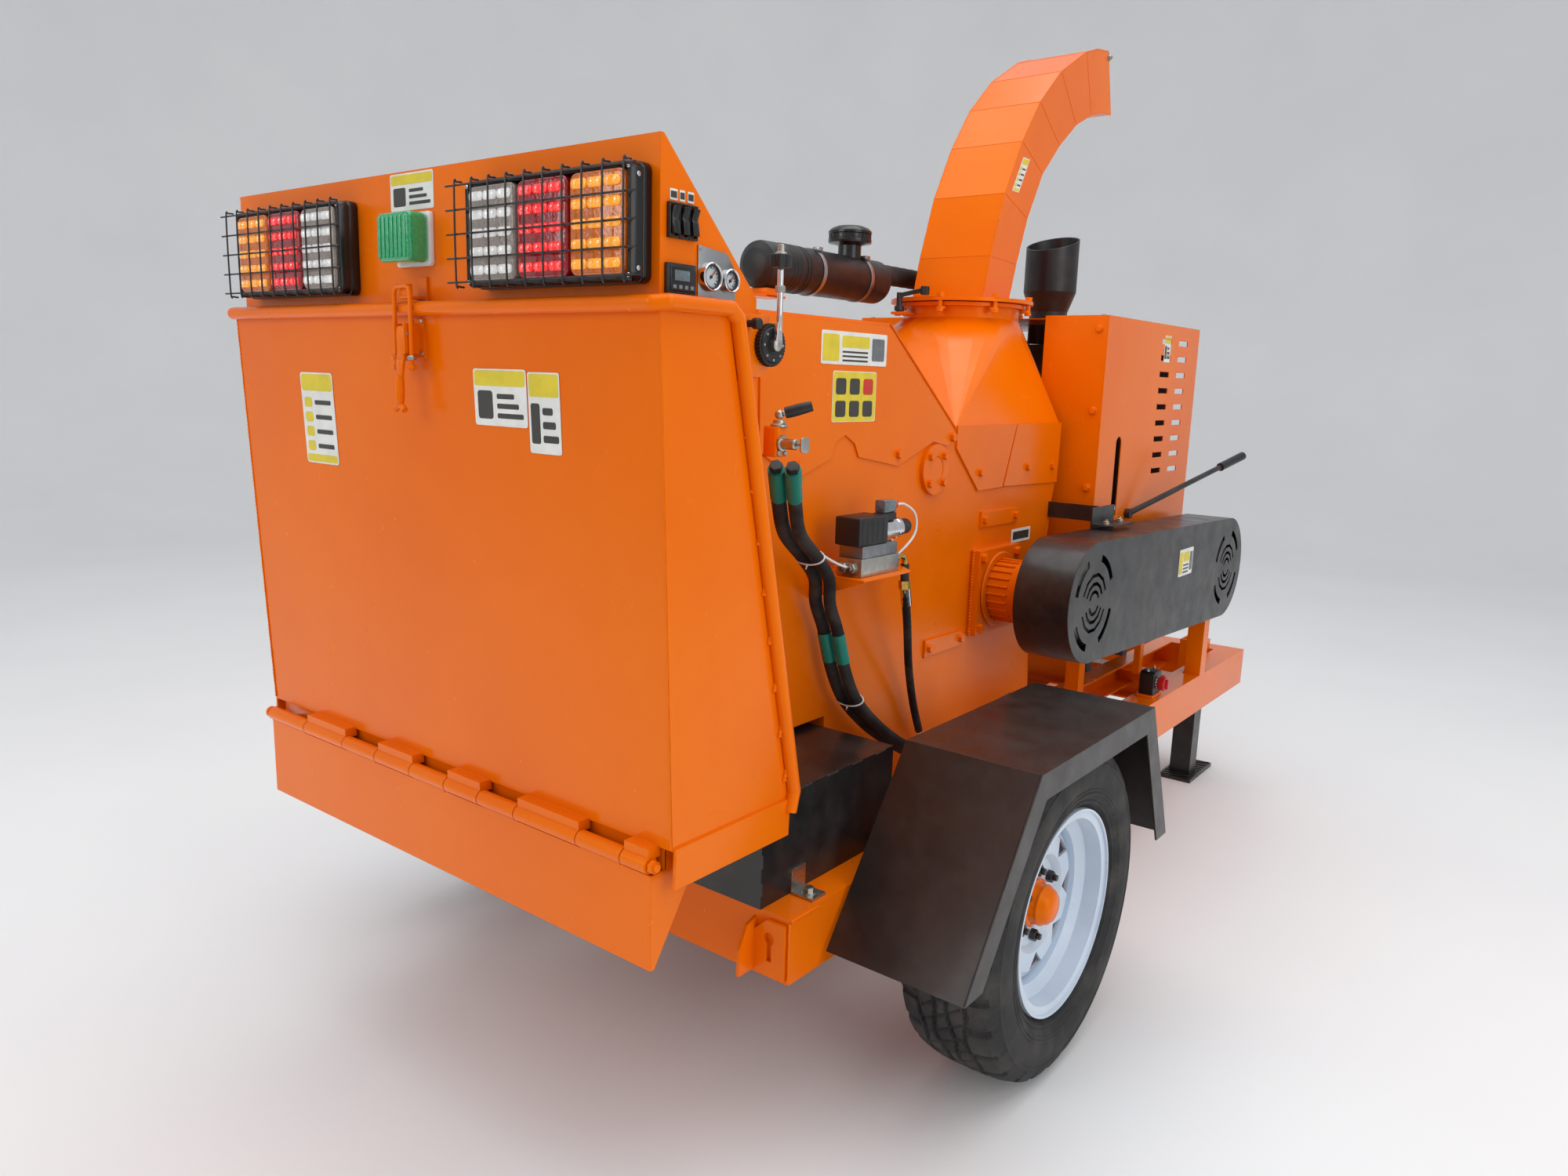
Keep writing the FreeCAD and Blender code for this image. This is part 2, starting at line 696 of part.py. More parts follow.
@part
def latch_u_bolt():
    """U-bolt over the keeper, with nuts at its lower ends."""
    left, right = latch_x - 20, latch_x + 22
    bow = bar([(left, latch_y, 1370), (left, latch_y, 1474), (left + 6, latch_y, 1480),
               (right - 6, latch_y, 1480), (right, latch_y, 1474), (right, latch_y, 1370)], 3.5)
    return fuse(bow, hexagon("Z", right, latch_y, 1370, 8, 7),
                hexagon("Z", right, latch_y, 1358, 8, 12),
                hexagon("Z", left, latch_y, 1366, 6, 6))


# -------------------------------------------------- light panel and controls
@part
def light_panel():
    """Hollow wedge above the tray, with the latch keeper and two feet."""
    outside = [(-892, 1450), (-696, 1450), (-696, 1468), (-886, panel_top), (-892, panel_top)]
    inside = [(-888, 1453), (-700, 1453), (-700, 1465), (-884, panel_top - 6),
              (-888, panel_top - 6)]
    wedge = cut(pad("YZ", outside, -panel_half, panel_half * 2),
                pad("YZ", inside, -panel_half + 3, panel_half * 2 - 6))
    keeper = fuse(box(latch_x - 12, latch_x + 14, -925, -891, 1462, 1466),
                  box(latch_x - 12, latch_x + 14, -923, -918, 1466, 1484),
                  box(latch_x - 4, latch_x + 20, -896, -891, 1454, 1496))
    feet = [box(x, x + 40, -870, -696, 1444, 1450) for x in (-panel_half, panel_half - 40)]
    return fuse(wedge, keeper, *feet)


@part
def tail_lamp_housings():
    return group(*[cut(box(x0, x1, -927, -892, 1472, 1622),
                       box(x0 + 8, x1 - 8, -931, -905, 1481, 1613)) for x0, x1 in lamp_spans])


@part
def tail_lamp_lenses():
    """Three lenses side by side in each housing."""
    lenses = []
    for x0, x1 in lamp_spans:
        pitch = (x1 - x0 - 17) / 3
        for i in range(3):
            lens_x = x0 + 8.5 + i * pitch
            lenses.append(box(lens_x, lens_x + pitch - 1.5, -937, -905, 1481.5, 1612.5))
    return group(*lenses)


@part
def marker_lamp():
    return group(box(-32, 58, -900, -892, 1514, 1592), box(-29, 55, -938, -900, 1517, 1589))


@part
def instrument_panel():
    """Gauge plate, two gauges, switch bezels and display on the right side."""
    gauge_face = panel_half + 3
    plate = [(-822, 1453), (-746, 1453), (-746, 1500), (-764, 1522), (-822, 1528)]
    bezels = [cut(box(panel_half, panel_half + 7, y - 8.5, y + 8.5, 1531, 1575),
                  box(panel_half - 1, panel_half + 9, y - 6.6, y + 6.6, 1534.5, 1571.5))
              for y in switch_rows]
    return group(pad("YZ", plate, panel_half, 3),
                 cyl("X", gauge_face, -804, 1488, 19, 12),
                 cyl("X", gauge_face, -765, 1486, 16, 12),
                 *bezels,
                 box(panel_half, panel_half + 9, -884, -830, 1453, 1500))


for switch_number, switch_y in enumerate(switch_rows, 1):
    PARTS["rocker_switch_%d" % switch_number] = fuse(
        box(panel_half + 4, panel_half + 12, switch_y - 6, switch_y + 6, 1536, 1570),
        cyl("Y", panel_half + 9, switch_y - 6, 1553, 7, 12))

throttle_y, throttle_z = -676, 1404        # pivot of the throttle lever


@part
def throttle_quadrant():
    return fuse(box(541, 546, -744, -672, 1358, 1446),
                cyl("X", 546, throttle_y, throttle_z, 31, 14),
                box(541, 548, -690, -660, 1372, 1436),
                cyl("X", 546, -720, 1432, 7, 22))


@part
def throttle_lever():
    """Upright lever with a round knob on top."""
    lever_x, lever_y = 564.5, -673
    return fuse(cyl("X", lever_x - 4, throttle_y, throttle_z, 9, 8),
                cyl("Z", lever_x, lever_y, 1400, 4.5, 118),
                box(lever_x - 4, lever_x + 4, -682, -664, 1400, 1440),
                cyl("Z", lever_x, lever_y, 1512, 16, 18),
                cyl("Z", lever_x, lever_y, 1530, 8, 14))


valve_x, valve_y = 500, -585               # spindle of the feed roller valve


@part
def control_valve():
    return fuse(box(480, 538, -602, -556, 1235, 1285), cyl("Z", valve_x, valve_y, 1284, 10, 12))


@part
def valve_handle():
    return fuse(cyl("Z", valve_x, valve_y, 1296, 7, 14),
                bar([(valve_x, valve_y, 1303), (534, -559.2, 1312.3)], 4.5),
                bar([(531, -561, 1311.5), (568, -533, 1322)], 10))


@part
def ignition_key():
    return fuse(cyl("X", 538.5, -588, 1258, 2.2, 14), box(552, 555, -599, -577, 1246, 1270))


# ----------------------------------------------------------- chipper housing
# Side plate outline: (y, z)
SIDE_PLATE = [(-395, 1477), (37, 1477), (338, 1255), (917, 1250), (914, 1100), (895, 1040),
              (821, 620), (830, 545), (830, rail_top), (-146, rail_top), (-146, 669),
              (-395, 669)]
# Sheets between the side plates: start (y, z), end (y, z), thickness to the left
# of the way from start to end, seen with +Y to the right
STRIPS = [((37, 1477), (-395, 1477), 6), ((338, 1255), (37, 1477), 6),
          ((914, 1100), (917, 1250), 6), ((895, 1040), (914, 1100), 6),
          ((821, 620), (895, 1040), 6), ((830, 545), (821, 620), 6),
          ((-389, 795), (-6, 795), 6), ((-146, 675), (-395, 675), -6),
          ((-146, 470), (-146, 675), -6), ((824, 560), (640, 560), 6),
          ((640, 560), (480, 560), 6), ((480, 560), (360, 640), 6),
          ((360, 640), (240, 790), 6), ((228, 790), (253, 790), 6)]


def cross_strip(start, end, thickness):
    """Sheet strip across the housing, run on a little past both ends."""
    overrun = 1.5
    along = Vector(end[0] - start[0], end[1] - start[1], 0)
    along.normalize()
    dy, dz = -along.y * thickness, along.x * thickness
    y0, z0 = start[0] - overrun * along.x, start[1] - overrun * along.y
    y1, z1 = end[0] + overrun * along.x, end[1] + overrun * along.y
    return pad("YZ", [(y0, z0), (y1, z1), (y1 + dy, z1 + dz), (y0 + dy, z0 + dz)],
               -plate_in, plate_in * 2)


@part
def chipper_housing():
    """Welded housing, with the anvil knife as a second solid."""
    holes = [(rotor_y, rotor_z, 62), (pivot_y, pivot_z, pivot_shaft_r + fit_gap)]
    right = pad("YZ", SIDE_PLATE, plate_in, plate_t, circles=holes)
    # the upper roller's shaft sweeps an arc about the pivot through the left plate
    sweep = (232.5, 222, 211, 200, 189.5)
    slot = [polar(pivot_y, pivot_z, 260, angle) for angle in sweep]
    slot += [polar(pivot_y, pivot_z, 206, angle) for angle in reversed(sweep)]
    left = mirror(pad("YZ", SIDE_PLATE, plate_in, plate_t, holes=[slot],
                      circles=[holes[0], (low_roll_y, low_roll_z, 34), holes[1]]))
    # blind bush for the right end of the lower roller
    bush = cut(cyl("X", 269, low_roll_y, low_roll_z, 42, 15),
               cyl("X", 260, low_roll_y, low_roll_z, low_shaft_r + fit_gap, 23))
    throat = [box(-plate_in, plate_in, -395, -389, z0, z1)
              for z0, z1 in ((675, 795), (1440, 1472))]
    weldment = fuse(right, left, bush, *[cross_strip(*row) for row in STRIPS], *throat)
    weldment.Refine = False
    anvil_knife = box(-278, 278, 256, 300, 781, 806)
    return group(weldment, anvil_knife)


@part
def side_covers():
    """Cover plates and swing shaft bearing caps on both side plates."""
    # scalloped cover: (y, z)
    scalloped = [(-392, 1470), (30, 1470), (330, 1248), (333, 1228), (300, 1216), (233, 1228),
                 (90, 1179), (-63, 1204), (-79, 1232), (-114, 1250), (-146, 1237),
                 (-158, 1205), (-266, 1171), (-279, 1171), (-385, 1225)]
    straps = [[(484, 1010), (684, 1010), (684, 1046), (484, 1050)],
              [(244, 724), (430, 724), (430, 760), (244, 764)]]
    notch = [(233, 1232), (333, 1232), (333, 1216), (233, 1216)]
    pieces = []
    for side in SIDES:
        pieces.append(pad("YZ", scalloped, side_start(side, plate_out, cover_t), cover_t))
        for outline in straps:
            pieces.append(pad("YZ", outline, side_start(side, plate_out, strap_t), strap_t))
    for side in SIDES:
        # each cap's top is notched from its left face
        x = side_start(side, plate_out, cap_t)
        cap = cut(cyl("X", x, pivot_y, pivot_z, 58, cap_t), pad("YZ", notch, x, 4.2))
        pieces.append(cut(cap, cyl("X", -312, pivot_y, pivot_z, pivot_shaft_r + fit_gap, 624)))
    return group(*pieces)


@part
def housing_bolts():
    """Hexagon heads on both sides of the housing."""
    # thickness under the head, head corner radius, head length, [(y, z)]
    sets = [(cover_t, 10, 9, [(-268, 1195), (87, 1205), (318, 1236)]),
            (strap_t, 10, 9, [(500, 1029), (668, 1028), (262, 743), (412, 742)]),
            (skirt_t, 10, 9, [(464, 1148), (722, 1151), (871, 1146)]),
            (cap_t, 9, 9, [polar(pivot_y, pivot_z, 43, a) for a in (45, 135, 225, 315)]),
            (bearing_t, 12, 12, [(rotor_y + dy, rotor_z + dz)
                                 for dy in (-90, 90) for dz in (-88, 88)])]
    heads = []
    for side in SIDES:
        for under, corner_r, length, places in sets:
            x = side_start(side, plate_out + under, length)
            heads += [hexagon("X", x, y, z, corner_r, length) for y, z in places]
    return group(*heads)


# --------------------------------------------------------------------- rotor
knife_angles = [90 * i + 20 for i in range(4)]


@part
def rotor_drum():
    pockets = [turned_box(rotor_y, rotor_z, angle, -280, 280, 196, 260, -2, 62)
               for angle in knife_angles]
    drum = cut(cyl("X", -270, rotor_y, rotor_z, rotor_rad, 540), *pockets)
    return fuse(drum, cyl("X", -405, rotor_y, rotor_z, shaft_r, 950))


@part
def rotor_knives():
    return group(*[turned_box(rotor_y, rotor_z, angle, -258, 258, 197, 259, -1, 17)
                   for angle in knife_angles])


@part
def rotor_bearings():
    bearings = []
    for side in SIDES:
        x = side_start(side, plate_out, bearing_t)
        flange = box(x, x + bearing_t, rotor_y - 108, rotor_y + 108,
                     rotor_z - 106, rotor_z + 106)
        barrel = cyl("X", side_start(side, plate_out + 24, 101), rotor_y, rotor_z, 76, 101)
        bearings.append(cut(fuse(flange, barrel),
                            cyl("X", -500, rotor_y, rotor_z, shaft_r + fit_gap, 1000)))
    return group(*bearings)


# -------------------------------------------------------------- feed rollers
def feed_roller(y, z, core_r, core_half, shaft_radius, shaft_x, shaft_length,
                fin_count, fin_root, fin_tip, fin_half):
    """Finned roller on its shaft, which starts at shaft_x."""
    fins = [turned_box(y, z, 360 / fin_count * i, -fin_half, fin_half, fin_root, fin_tip, -4, 4)
            for i in range(fin_count)]
    return fuse(cyl("X", -core_half, y, z, core_r, core_half * 2),
                cyl("X", shaft_x, y, z, shaft_radius, shaft_length), *fins)


def feed_motor(y, z, flange_x0, flange_x1, flange_half, body_x, body_r, body_length,
               bore_x, bore_r):
    """Hydraulic motor on a roller's left end: square flange, round body, top port."""
    return cut(fuse(box(flange_x0, flange_x1, y - flange_half, y + flange_half,
                        z - flange_half, z + flange_half),
                    cyl("X", body_x, y, z, body_r, body_length),
                    cyl("Z", body_x + 40, y, z + (body_r - 6), 12, 26)),
               cyl("X", bore_x, y, z, bore_r, 60))


PARTS["lower_feed_roller"] = feed_roller(
    low_roll_y, low_roll_z, core_r=82, core_half=268,
    shaft_radius=low_shaft_r, shaft_x=-330, shaft_length=612,
    fin_count=10, fin_root=78, fin_tip=low_roll_r, fin_half=265)
PARTS["upper_feed_roller"] = feed_roller(
    up_roll_y, up_roll_z, core_r=98, core_half=245,
    shaft_radius=up_shaft_r, shaft_x=-325, shaft_length=585,
    fin_count=12, fin_root=95, fin_tip=up_roll_r, fin_half=242)
PARTS["feed_motor_lower"] = feed_motor(
    low_roll_y, low_roll_z, flange_x0=-325, flange_x1=-295, flange_half=50,
    body_x=-440, body_r=46, body_length=116, bore_x=-331, bore_r=low_shaft_r + fit_gap)


@part
def upper_roller_arm():
    """Swing arms inside the housing on their cross shaft, and the roller's motor."""
    arms = []
    for x0, x1 in ((250, 268), (-268, -250)):
        arms.append(cut(link_hull(x0, x1, (pivot_y, pivot_z, 44), (up_roll_y, up_roll_z, 46)),
                        cyl("X", x0 - 5, up_roll_y, up_roll_z, up_shaft_r + fit_gap, 30)))
    swing = fuse(cyl("X", -304, pivot_y, pivot_z, pivot_shaft_r, 608), *arms)
    motor = feed_motor(up_roll_y, up_roll_z, flange_x0=-327, flange_x1=-301, flange_half=48,
                       body_x=-435, body_r=44, body_length=110,
                       bore_x=-326, bore_r=up_shaft_r + fit_gap)
    return group(swing, motor)


# ---------------------------------------------------------------- belt drive
def drive_hull(x0, x1, rotor_end_r, engine_end_r):
    return link_hull(x0, x1, (rotor_y, rotor_z, rotor_end_r), (engine_y, engine_z, engine_end_r))


@part
def rotor_pulley():
    return cut(cyl("X", 455, rotor_y, rotor_z, rotor_pulley_r, 85),
               cyl("X", 450, rotor_y, rotor_z, shaft_r, 95))


@part
def engine_pulley():
    return fuse(cyl("X", 455, engine_y, engine_z, engine_pulley_r, 85),
                cyl("X", 420, engine_y, engine_z, 28, 36))


@part
def drive_belts():
    belt_t = 9
    return cut(drive_hull(462, 533, rotor_pulley_r + belt_t, engine_pulley_r + belt_t),
               drive_hull(460, 535, rotor_pulley_r, engine_pulley_r))


def arc_vent(y, z, radius, half_width, start, end):
    """Curved slot through the guard's outer face, from angle start to end."""
    steps = 5
    angles = [start + (end - start) * i / steps for i in range(steps + 1)]
    outline = [polar(y, z, radius + half_width, angle) for angle in angles]
    outline += [polar(y, z, radius - half_width, angle) for angle in reversed(angles)]
    return pad("YZ", outline, guard_out - 8, 20)


@part
def belt_guard():
    """Hollow guard with vent slots around both shafts, and its brackets."""
    # radius, half width, start angle, end angle
    slots = [(110, 9, start, start + 50) for start in (25, 115, 205, 295)]
    slots += [(radius, 4.5, start, start + 140) for radius in (70, 48, 28)
              for start in (20, 200)]
    vents = [arc_vent(y, z, radius, half_width, start, end)
             for y, z in ((rotor_y, rotor_z), (engine_y, engine_z))
             for radius, half_width, start, end in slots]
    guard = cut(drive_hull(guard_in, guard_out, guard_rear_r, guard_front_r),
                drive_hull(guard_in + 3, guard_out - 3, guard_rear_r - 3, guard_front_r - 3),
                cyl("X", guard_in - 10, rotor_y, rotor_z, 62, 30),
                cyl("X", guard_in - 10, engine_y, engine_z, 60, 30), *vents)
    angle_piece = cut(fuse(box(436, 440, 840, 990, 985, 1046), box(440, 500, 840, 990, 1000, 1004)),
                      drive_hull(guard_in - 2, guard_out + 2,
                                 guard_rear_r + 0.5, guard_front_r + 0.5))
    return group(guard, angle_piece,
                 box(plate_out, 436, 880, 886, 1006, 1048),
                 box(440, 560, 1566, 1614, 652, 656))


# ------------------------------------------------------- discharge and chute
def square_to_round(half_x, y0, y1, z0, radius, z1):
    """Solid whose rectangle corners at z0 fan out to a many-sided ring at z1."""
    steps = 6       # ring edges per quarter
    corners = [Vector(half_x, y1, z0), Vector(-half_x, y1, z0),
               Vector(-half_x, y0, z0), Vector(half_x, y0, z0)]
    ring = []
    faces = [Part.Face(Part.makePolygon(corners + [corners[0]]))]
    for i, corner in enumerate(corners):
        arc = [Vector(*polar(0, chute_y, radius, 90 * i + 90 * k / steps), z1)
               for k in range(steps + 1)]
        ring += arc[:-1]
        for start, end in zip(arc, arc[1:]):
            faces.append(Part.Face(Part.makePolygon([corner, start, end, corner])))
        following = corners[(i + 1) % 4]
        faces.append(Part.Face(Part.makePolygon([corner, arc[-1], following, corner])))
    faces.append(Part.Face(Part.makePolygon(ring + [ring[0]])))
    return shape_object(Part.makeSolid(Part.makeShell(faces)))


@part
def discharge_transition():
    """Square-to-round neck with the fixed ring and skirt plates."""
    outside = fuse(square_to_round(295, 338, 917, 1256, 160, 1535),
                   cyl("Z", 0, chute_y, 1531, 161, 33),
                   box(-92, -56, 640, 745, 1538, 1545))
    inside = fuse(square_to_round(290, 343, 912, 1255.9, 155, 1535.1),
                  cyl("Z", 0, chute_y, 1533, 156, 41))
    fixed_ring = cut(cyl("Z", 0, chute_y, ring_z, ring_r, 10),
                     cyl("Z", 0, chute_y, ring_z - 1, 156, 12))
    outlines = [[(342, 1262), (647, 1262), (586, 1105), (460, 1103), (342, 1209)],
                [(652, 1262), (917, 1262), (913, 1100), (595, 1106)]]
    skirts = [pad("YZ", outline, plate_out, skirt_t) for outline in outlines]
    return fuse(cut(outside, inside), fixed_ring, *skirts, *[mirror(s) for s in skirts])


# Chute side outlines: (y, z), rear wall going up and front wall coming down
CHUTE_OUTSIDE = [(777, 1584), (806, 1700), (866, 1868), (948, 2015), (1040, 2135),
                 (1160, 2240), (1318, 2328), (1400, 2356), (1483, 2369),
                 (1537, 2196), (1470, 2190), (1393, 2169), (1289, 2122), (1184, 2045),
                 (1085, 1951), (1008, 1820), (958, 1690), (925, 1584)]
CHUTE_INSIDE = [(781.5, 1583), (810, 1698.8), (870, 1866.3), (951.5, 2012.6), (1043, 2132),
                (1162.5, 2236.7), (1319.6, 2324.3), (1401, 2352), (1486, 2363.5),
                (1538, 2200), (1469, 2194.2), (1391.6, 2172.9), (1286.6, 2125.5),
                (1181.3, 2048), (1081.6, 1953.5), (1004.2, 1822), (954, 1691), (921, 1583)]
CHUTE_MOUTH = [(1483, 2380), (1479.5, 2366.5), (1536, 2198), (1560, 2190), (1560, 2380)]


@part
def discharge_chute():
    """Bent rectangular duct on a bolted ring that turns on the fixed ring."""
    inner_half = chute_half - sheet_t
    duct = cut(pad("YZ", CHUTE_OUTSIDE, -chute_half, chute_half * 2),
               pad("YZ", CHUTE_INSIDE, -inner_half, inner_half * 2),
               pad("YZ", CHUTE_MOUTH, -inner_half, inner_half * 2))
    turning_ring = cut(cyl("Z", 0, chute_y, ring_z + 12, 197, 10),
                       box(-inner_half, inner_half, 782, 920, ring_z, ring_z + 40))
    bolt_circle = 189
    fasteners = []
    for i in range(8):
        angle = 45 * i + 12
        x, y = polar(0, chute_y, bolt_circle, angle)
        fasteners.append(fuse(hexagon("Z", x, y, 1584, 11, 11), cyl("Z", x, y, 1546, 6, 40),
                              hexagon("Z", x, y, 1546, 10, 8)))
        # washer set slightly inwards, under the fixed ring
        x, y = polar(0, chute_y, 0.965 * bolt_circle, angle)
        fasteners.append(cyl("Z", x, y, 1553, 13, 7))
    return fuse(duct, turning_ring, *fasteners)


@part
def chute_flap():
    """Tilted flap hanging across the chute mouth."""
    flap = shape_object(Part.makeBox(204, 5, 178, Vector(-102, 0, -178)))
    return place(flap, 0, 1492.5, 2368.5, Rotation(Vector(1, 0, 0), 17.3))


@part
def chute_clamp():
    """Clamp that locks the chute ring, with its lever and knob."""
    return fuse(cyl("Z", -74, 652, 1545.5, 8, 50), cyl("Z", -74, 652, 1548, 13, 12),
                bar([(-74, 652, 1588), (14, 636, 1600)], 6), cyl("Z", 14, 636, 1586, 11, 22))


# ----------------------------------------------------------- engine and hood
@part
def engine_hood():
    """Hood open below and in front, and four uprights that carry it."""
    wall = 3
    hood = cut(box(-hood_half, hood_half, hood_rear, hood_front, hood_low, hood_top),
               box(-hood_half + wall, hood_half - wall, hood_rear + wall, hood_front + 10,
                   hood_low - 10, hood_top - wall))
    # two columns of louvre slots
    openings = [box(-hood_half - 5, hood_half + 5, y, y + 80, z - 8, z + 8)
                for y in (1375, 1520) for z in range(1500, 1115, -48)]
    # round-topped slot in the right side
    openings.append(fuse(box(hood_half - 8, hood_half + 8, 1078, 1118, 1000, 1205),
                         cyl("X", hood_half - 8, 1098, 1205, 20, 16)))
    # intake pipe hole
    openings.append(cyl("Z", filter_x, 1095, hood_top - 10, 30, 20))
    # clearance for the discharge neck and its turning flange
    openings.append(box(-215, 215, 940, 1064, 1325, 1560))
    openings.append(cyl("Z", exhaust_x, exhaust_y, hood_top - 10, 62, 20))
    uprights = []
    for side in SIDES:
        for x0, y0, y1 in ((352, 955, 995), (372, 1440, 1470)):
            uprights.append(box(*side_span(side, x0, 392), y0, y1, rail_top, hood_low + 40))
    return group(cut(hood, *openings), *uprights)


@part
def engine():
    """Engine block on four feet, with the radiator as a second solid."""
    block = fuse(box(-300, 210, 1330, 1700, 560, 900),
                 box(-270, 190, 1360, 1600, 900, 1180),
                 box(-240, 160, 1400, 1560, 1180, 1260),
                 cyl("X", 205, engine_y, engine_z, 150, 90),
                 cyl("X", 290, engine_y, engine_z, 95, 60),
                 cyl("X", 345, engine_y, engine_z, 50, 74),
                 box(-290, 190, 1340, 1690, 500, 560),
                 box(-370, -290, 1340, 1380, rail_top, 600),
                 box(200, 260, 1340, 1380, rail_top, 600),
                 box(-370, -290, 1640, 1680, rail_top, 600),
                 box(200, 262, 1640, 1680, rail_top, 600),
                 box(-270, -230, 1340, 1380, 1200, 1240))
    block = cut(block, cyl("X", 419, engine_y, engine_z, 28 + fit_gap, 30))
    radiator = fuse(box(-330, 330, 1640, 1700, 970, 1500),
                    box(-300, 300, 1620, 1640, 985, 1470))
    return group(block, radiator)


@part
def clutch_lever():
    """Shaft end at the hood side and a long rod with a grip."""
    return fuse(cyl("X", 396, 1195, 1001, 14, 16),
                bar([(404, 1195, 1001), (550, 1747, 1156)], 8),
                bar([(521, 1637, 1125), (552, 1754.5, 1158.1)], 13))


@part
def air_filter():
    """Filter canister with rain cap and pipe to the hood, and its bracket."""
    x, cap_y = filter_x, 560
    pipe = bar([(x, 680, 1650), (x, 1020, 1650), (x, 1060, 1640), (x, 1085, 1615),
                (x, 1095, 1580), (x, 1095, 1545)], 27)
    canister = fuse(cyl("Y", x, 175, filter_z, filter_r, 515),
                    cone("Y", x, 160, filter_z, 40, filter_r, 16), pipe,
                    cyl("Z", x, cap_y, filter_z + 40, 30, 60),
                    cyl("Z", x, cap_y, filter_z + 92, 58, 30),
                    cone("Z", x, cap_y, filter_z + 122, 58, 20, 14))
    bracket = cut(fuse(box(x - 40, x + 40, -30, 30, 1477, 1483),
                       box(x - 6, x + 6, -20, 24, 1482, 1556),
                       box(x - 30, x + 30, 20, 250, 1550, 1556),
                       box(x - 30, x + 30, 176, 230, 1552, filter_z - 30)),
                  cyl("Y", x, 100, filter_z, filter_r + 0.3, 300))
    return group(canister, bracket)


@part
def exhaust_stack():
    """Hollow stack that widens upwards and ends in a slanting mouth."""
    x, y = exhaust_x, exhaust_y
    return cut(fuse(cyl("Z", x, y, 1490, 58, 100), cone("Z", x, y, 1586, 58, 80, 60),
                    cyl("Z", x, y, 1645, 80, 215)),
               cyl("Z", x, y, 1485, 52, 110),
               cyl("Z", x, y, 1640, 75, 300),
               cone("Z", x, y, 1590, 52, 75, 52),
               pad("YZ", [(1200, 1740), (1500, 1846), (1500, 1950), (1200, 1950)], -100, 260))


@part
def battery():
    """Battery case with two terminals."""
    height = 190
    return fuse(box(-500, -300, 1690, 1860, rail_top, rail_top + height),
                *[cyl("Z", x, 1720, rail_top + height - 1, 8, 16) for x in (-470, -330)])


@part
def isolator_switch():
    return fuse(box(478, 528, 1185, 1262, rail_top, rail_top + 8),
                box(482, 526, 1192, 1256, rail_top + 8, rail_top + 78),
                cyl("X", 525, 1224, rail_top + 42, 15, 4))


@part
def isolator_knob():
    return fuse(cyl("X", 529.5, 1224, rail_top + 42, 21, 22),
                cyl("X", 551, 1224, rail_top + 42, 17, 8))


# ---------------------------------------------------------------- hydraulics
@part
def valve_manifold():
    """Valve blocks on the right side, and the sheet bracket under them."""
    bracket = fuse(pad("XY", [(295, -215), (425, -215), (425, -45), (295, 60)], 978, 5),
                   pad("XZ", [(295, 930), (300, 930), (425, 978), (295, 978)], -215, 5))
    blocks = fuse(box(352, 412, -205, -70, 983, 1044), box(350, 410, -212, -112, 1044, 1100),
                  cyl("Y", 382, -112, 1066, 20, 76), cyl("Y", 382, -36, 1066, 16, 40),
                  box(368, 396, -108, -62, 1085, 1100), box(370, 394, -104, -58, 1100, 1126),
                  cyl("Y", 382, -75, 1005, 9, 40))
    return group(blocks, bracket)


@part
def hydraulic_hoses():
    """Two hoses side by side and a thinner one from the manifold."""
    # (x, y, z) along each hose
    main_run = [(466, -546, 1212), (430, -490, 1150), (394, -425, 1090), (362, -330, 1035),
                (345, -265, 985), (332, -240, 930), (328, -205, 870), (330, -178, 789),
                (330, -131, 713), (330, -53, 644), (330, 30, 588), (332, 114, 540)]
    thin_run = [(382, -22, 1005), (382, 0, 1000), (382, 6, 940), (372, 40, 850),
                (345, 100, 740), (325, 160, 640), (322, 200, 560)]
    return group(bar(main_run, 13),
                 bar([(x + 31, y + 4, z) for x, y, z in main_run], 12),
                 bar(thin_run, 9))


# --------------------------------------------------------- jacks and drawbar
for jack_name, jack_side in (("jack_leg_right", 1), ("jack_leg_left", -1)):
    leg_x = jack_side * jack_x
    PARTS[jack_name] = fuse(
        box(leg_x - 35, leg_x + 35, jack_y - 35, jack_y + 35, 10, 440),
        box(leg_x - 56, leg_x + 56, jack_y - 86, jack_y + 154, 0, 12))


@part
def drawbar():
    """Square tube with a tongue and the towing eye at its front end."""
    outer, inner = 35, 29
    return cut(fuse(box(-outer, outer, 1150, eye_y - 30, eye_z - outer, eye_z + outer),
                    box(-32, 32, eye_y - 40, eye_y, eye_z - 12, eye_z + 12),
                    cyl("Z", 0, eye_y, eye_z - 15, 45, 30)),
               cyl("Z", 0, eye_y, eye_z - 20, 21, 40),
               box(-inner, inner, 1140, eye_y - 60, eye_z - inner, eye_z + inner))


# -------------------------------------------------------------------- export
doc.recompute()
failed = [o.Name for o in doc.Objects if "Invalid" in o.State or "Error" in o.State]
if failed:
    raise SystemExit("objects failed to recompute: " + ", ".join(failed))
for name, obj in PARTS.items():
    obj.Label = name
    if obj.Shape.isNull() or not obj.Shape.isValid() or not obj.Shape.Solids:
        raise SystemExit("bad shape: " + name)
os.makedirs("parts", exist_ok=True)
for name, obj in PARTS.items():
    obj.Shape.exportStep(os.path.join("parts", name + ".step"))
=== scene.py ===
"""Detailed looks for a towed chipper: meshes and materials over its CAD pieces, studio, camera.

The machine stands on z = 0 with +Z up. The feed tray is at its rear (-Y), the drawbar at its
front (+Y), and the instrument panel on its right (+X).
Pieces are drawn in mm with y = 0 on the wheel axle's line; the scene is in metres.
"""
import bpy
import bmesh
from math import asin, cos, pi, radians, sin
from mathutils import Matrix, Vector

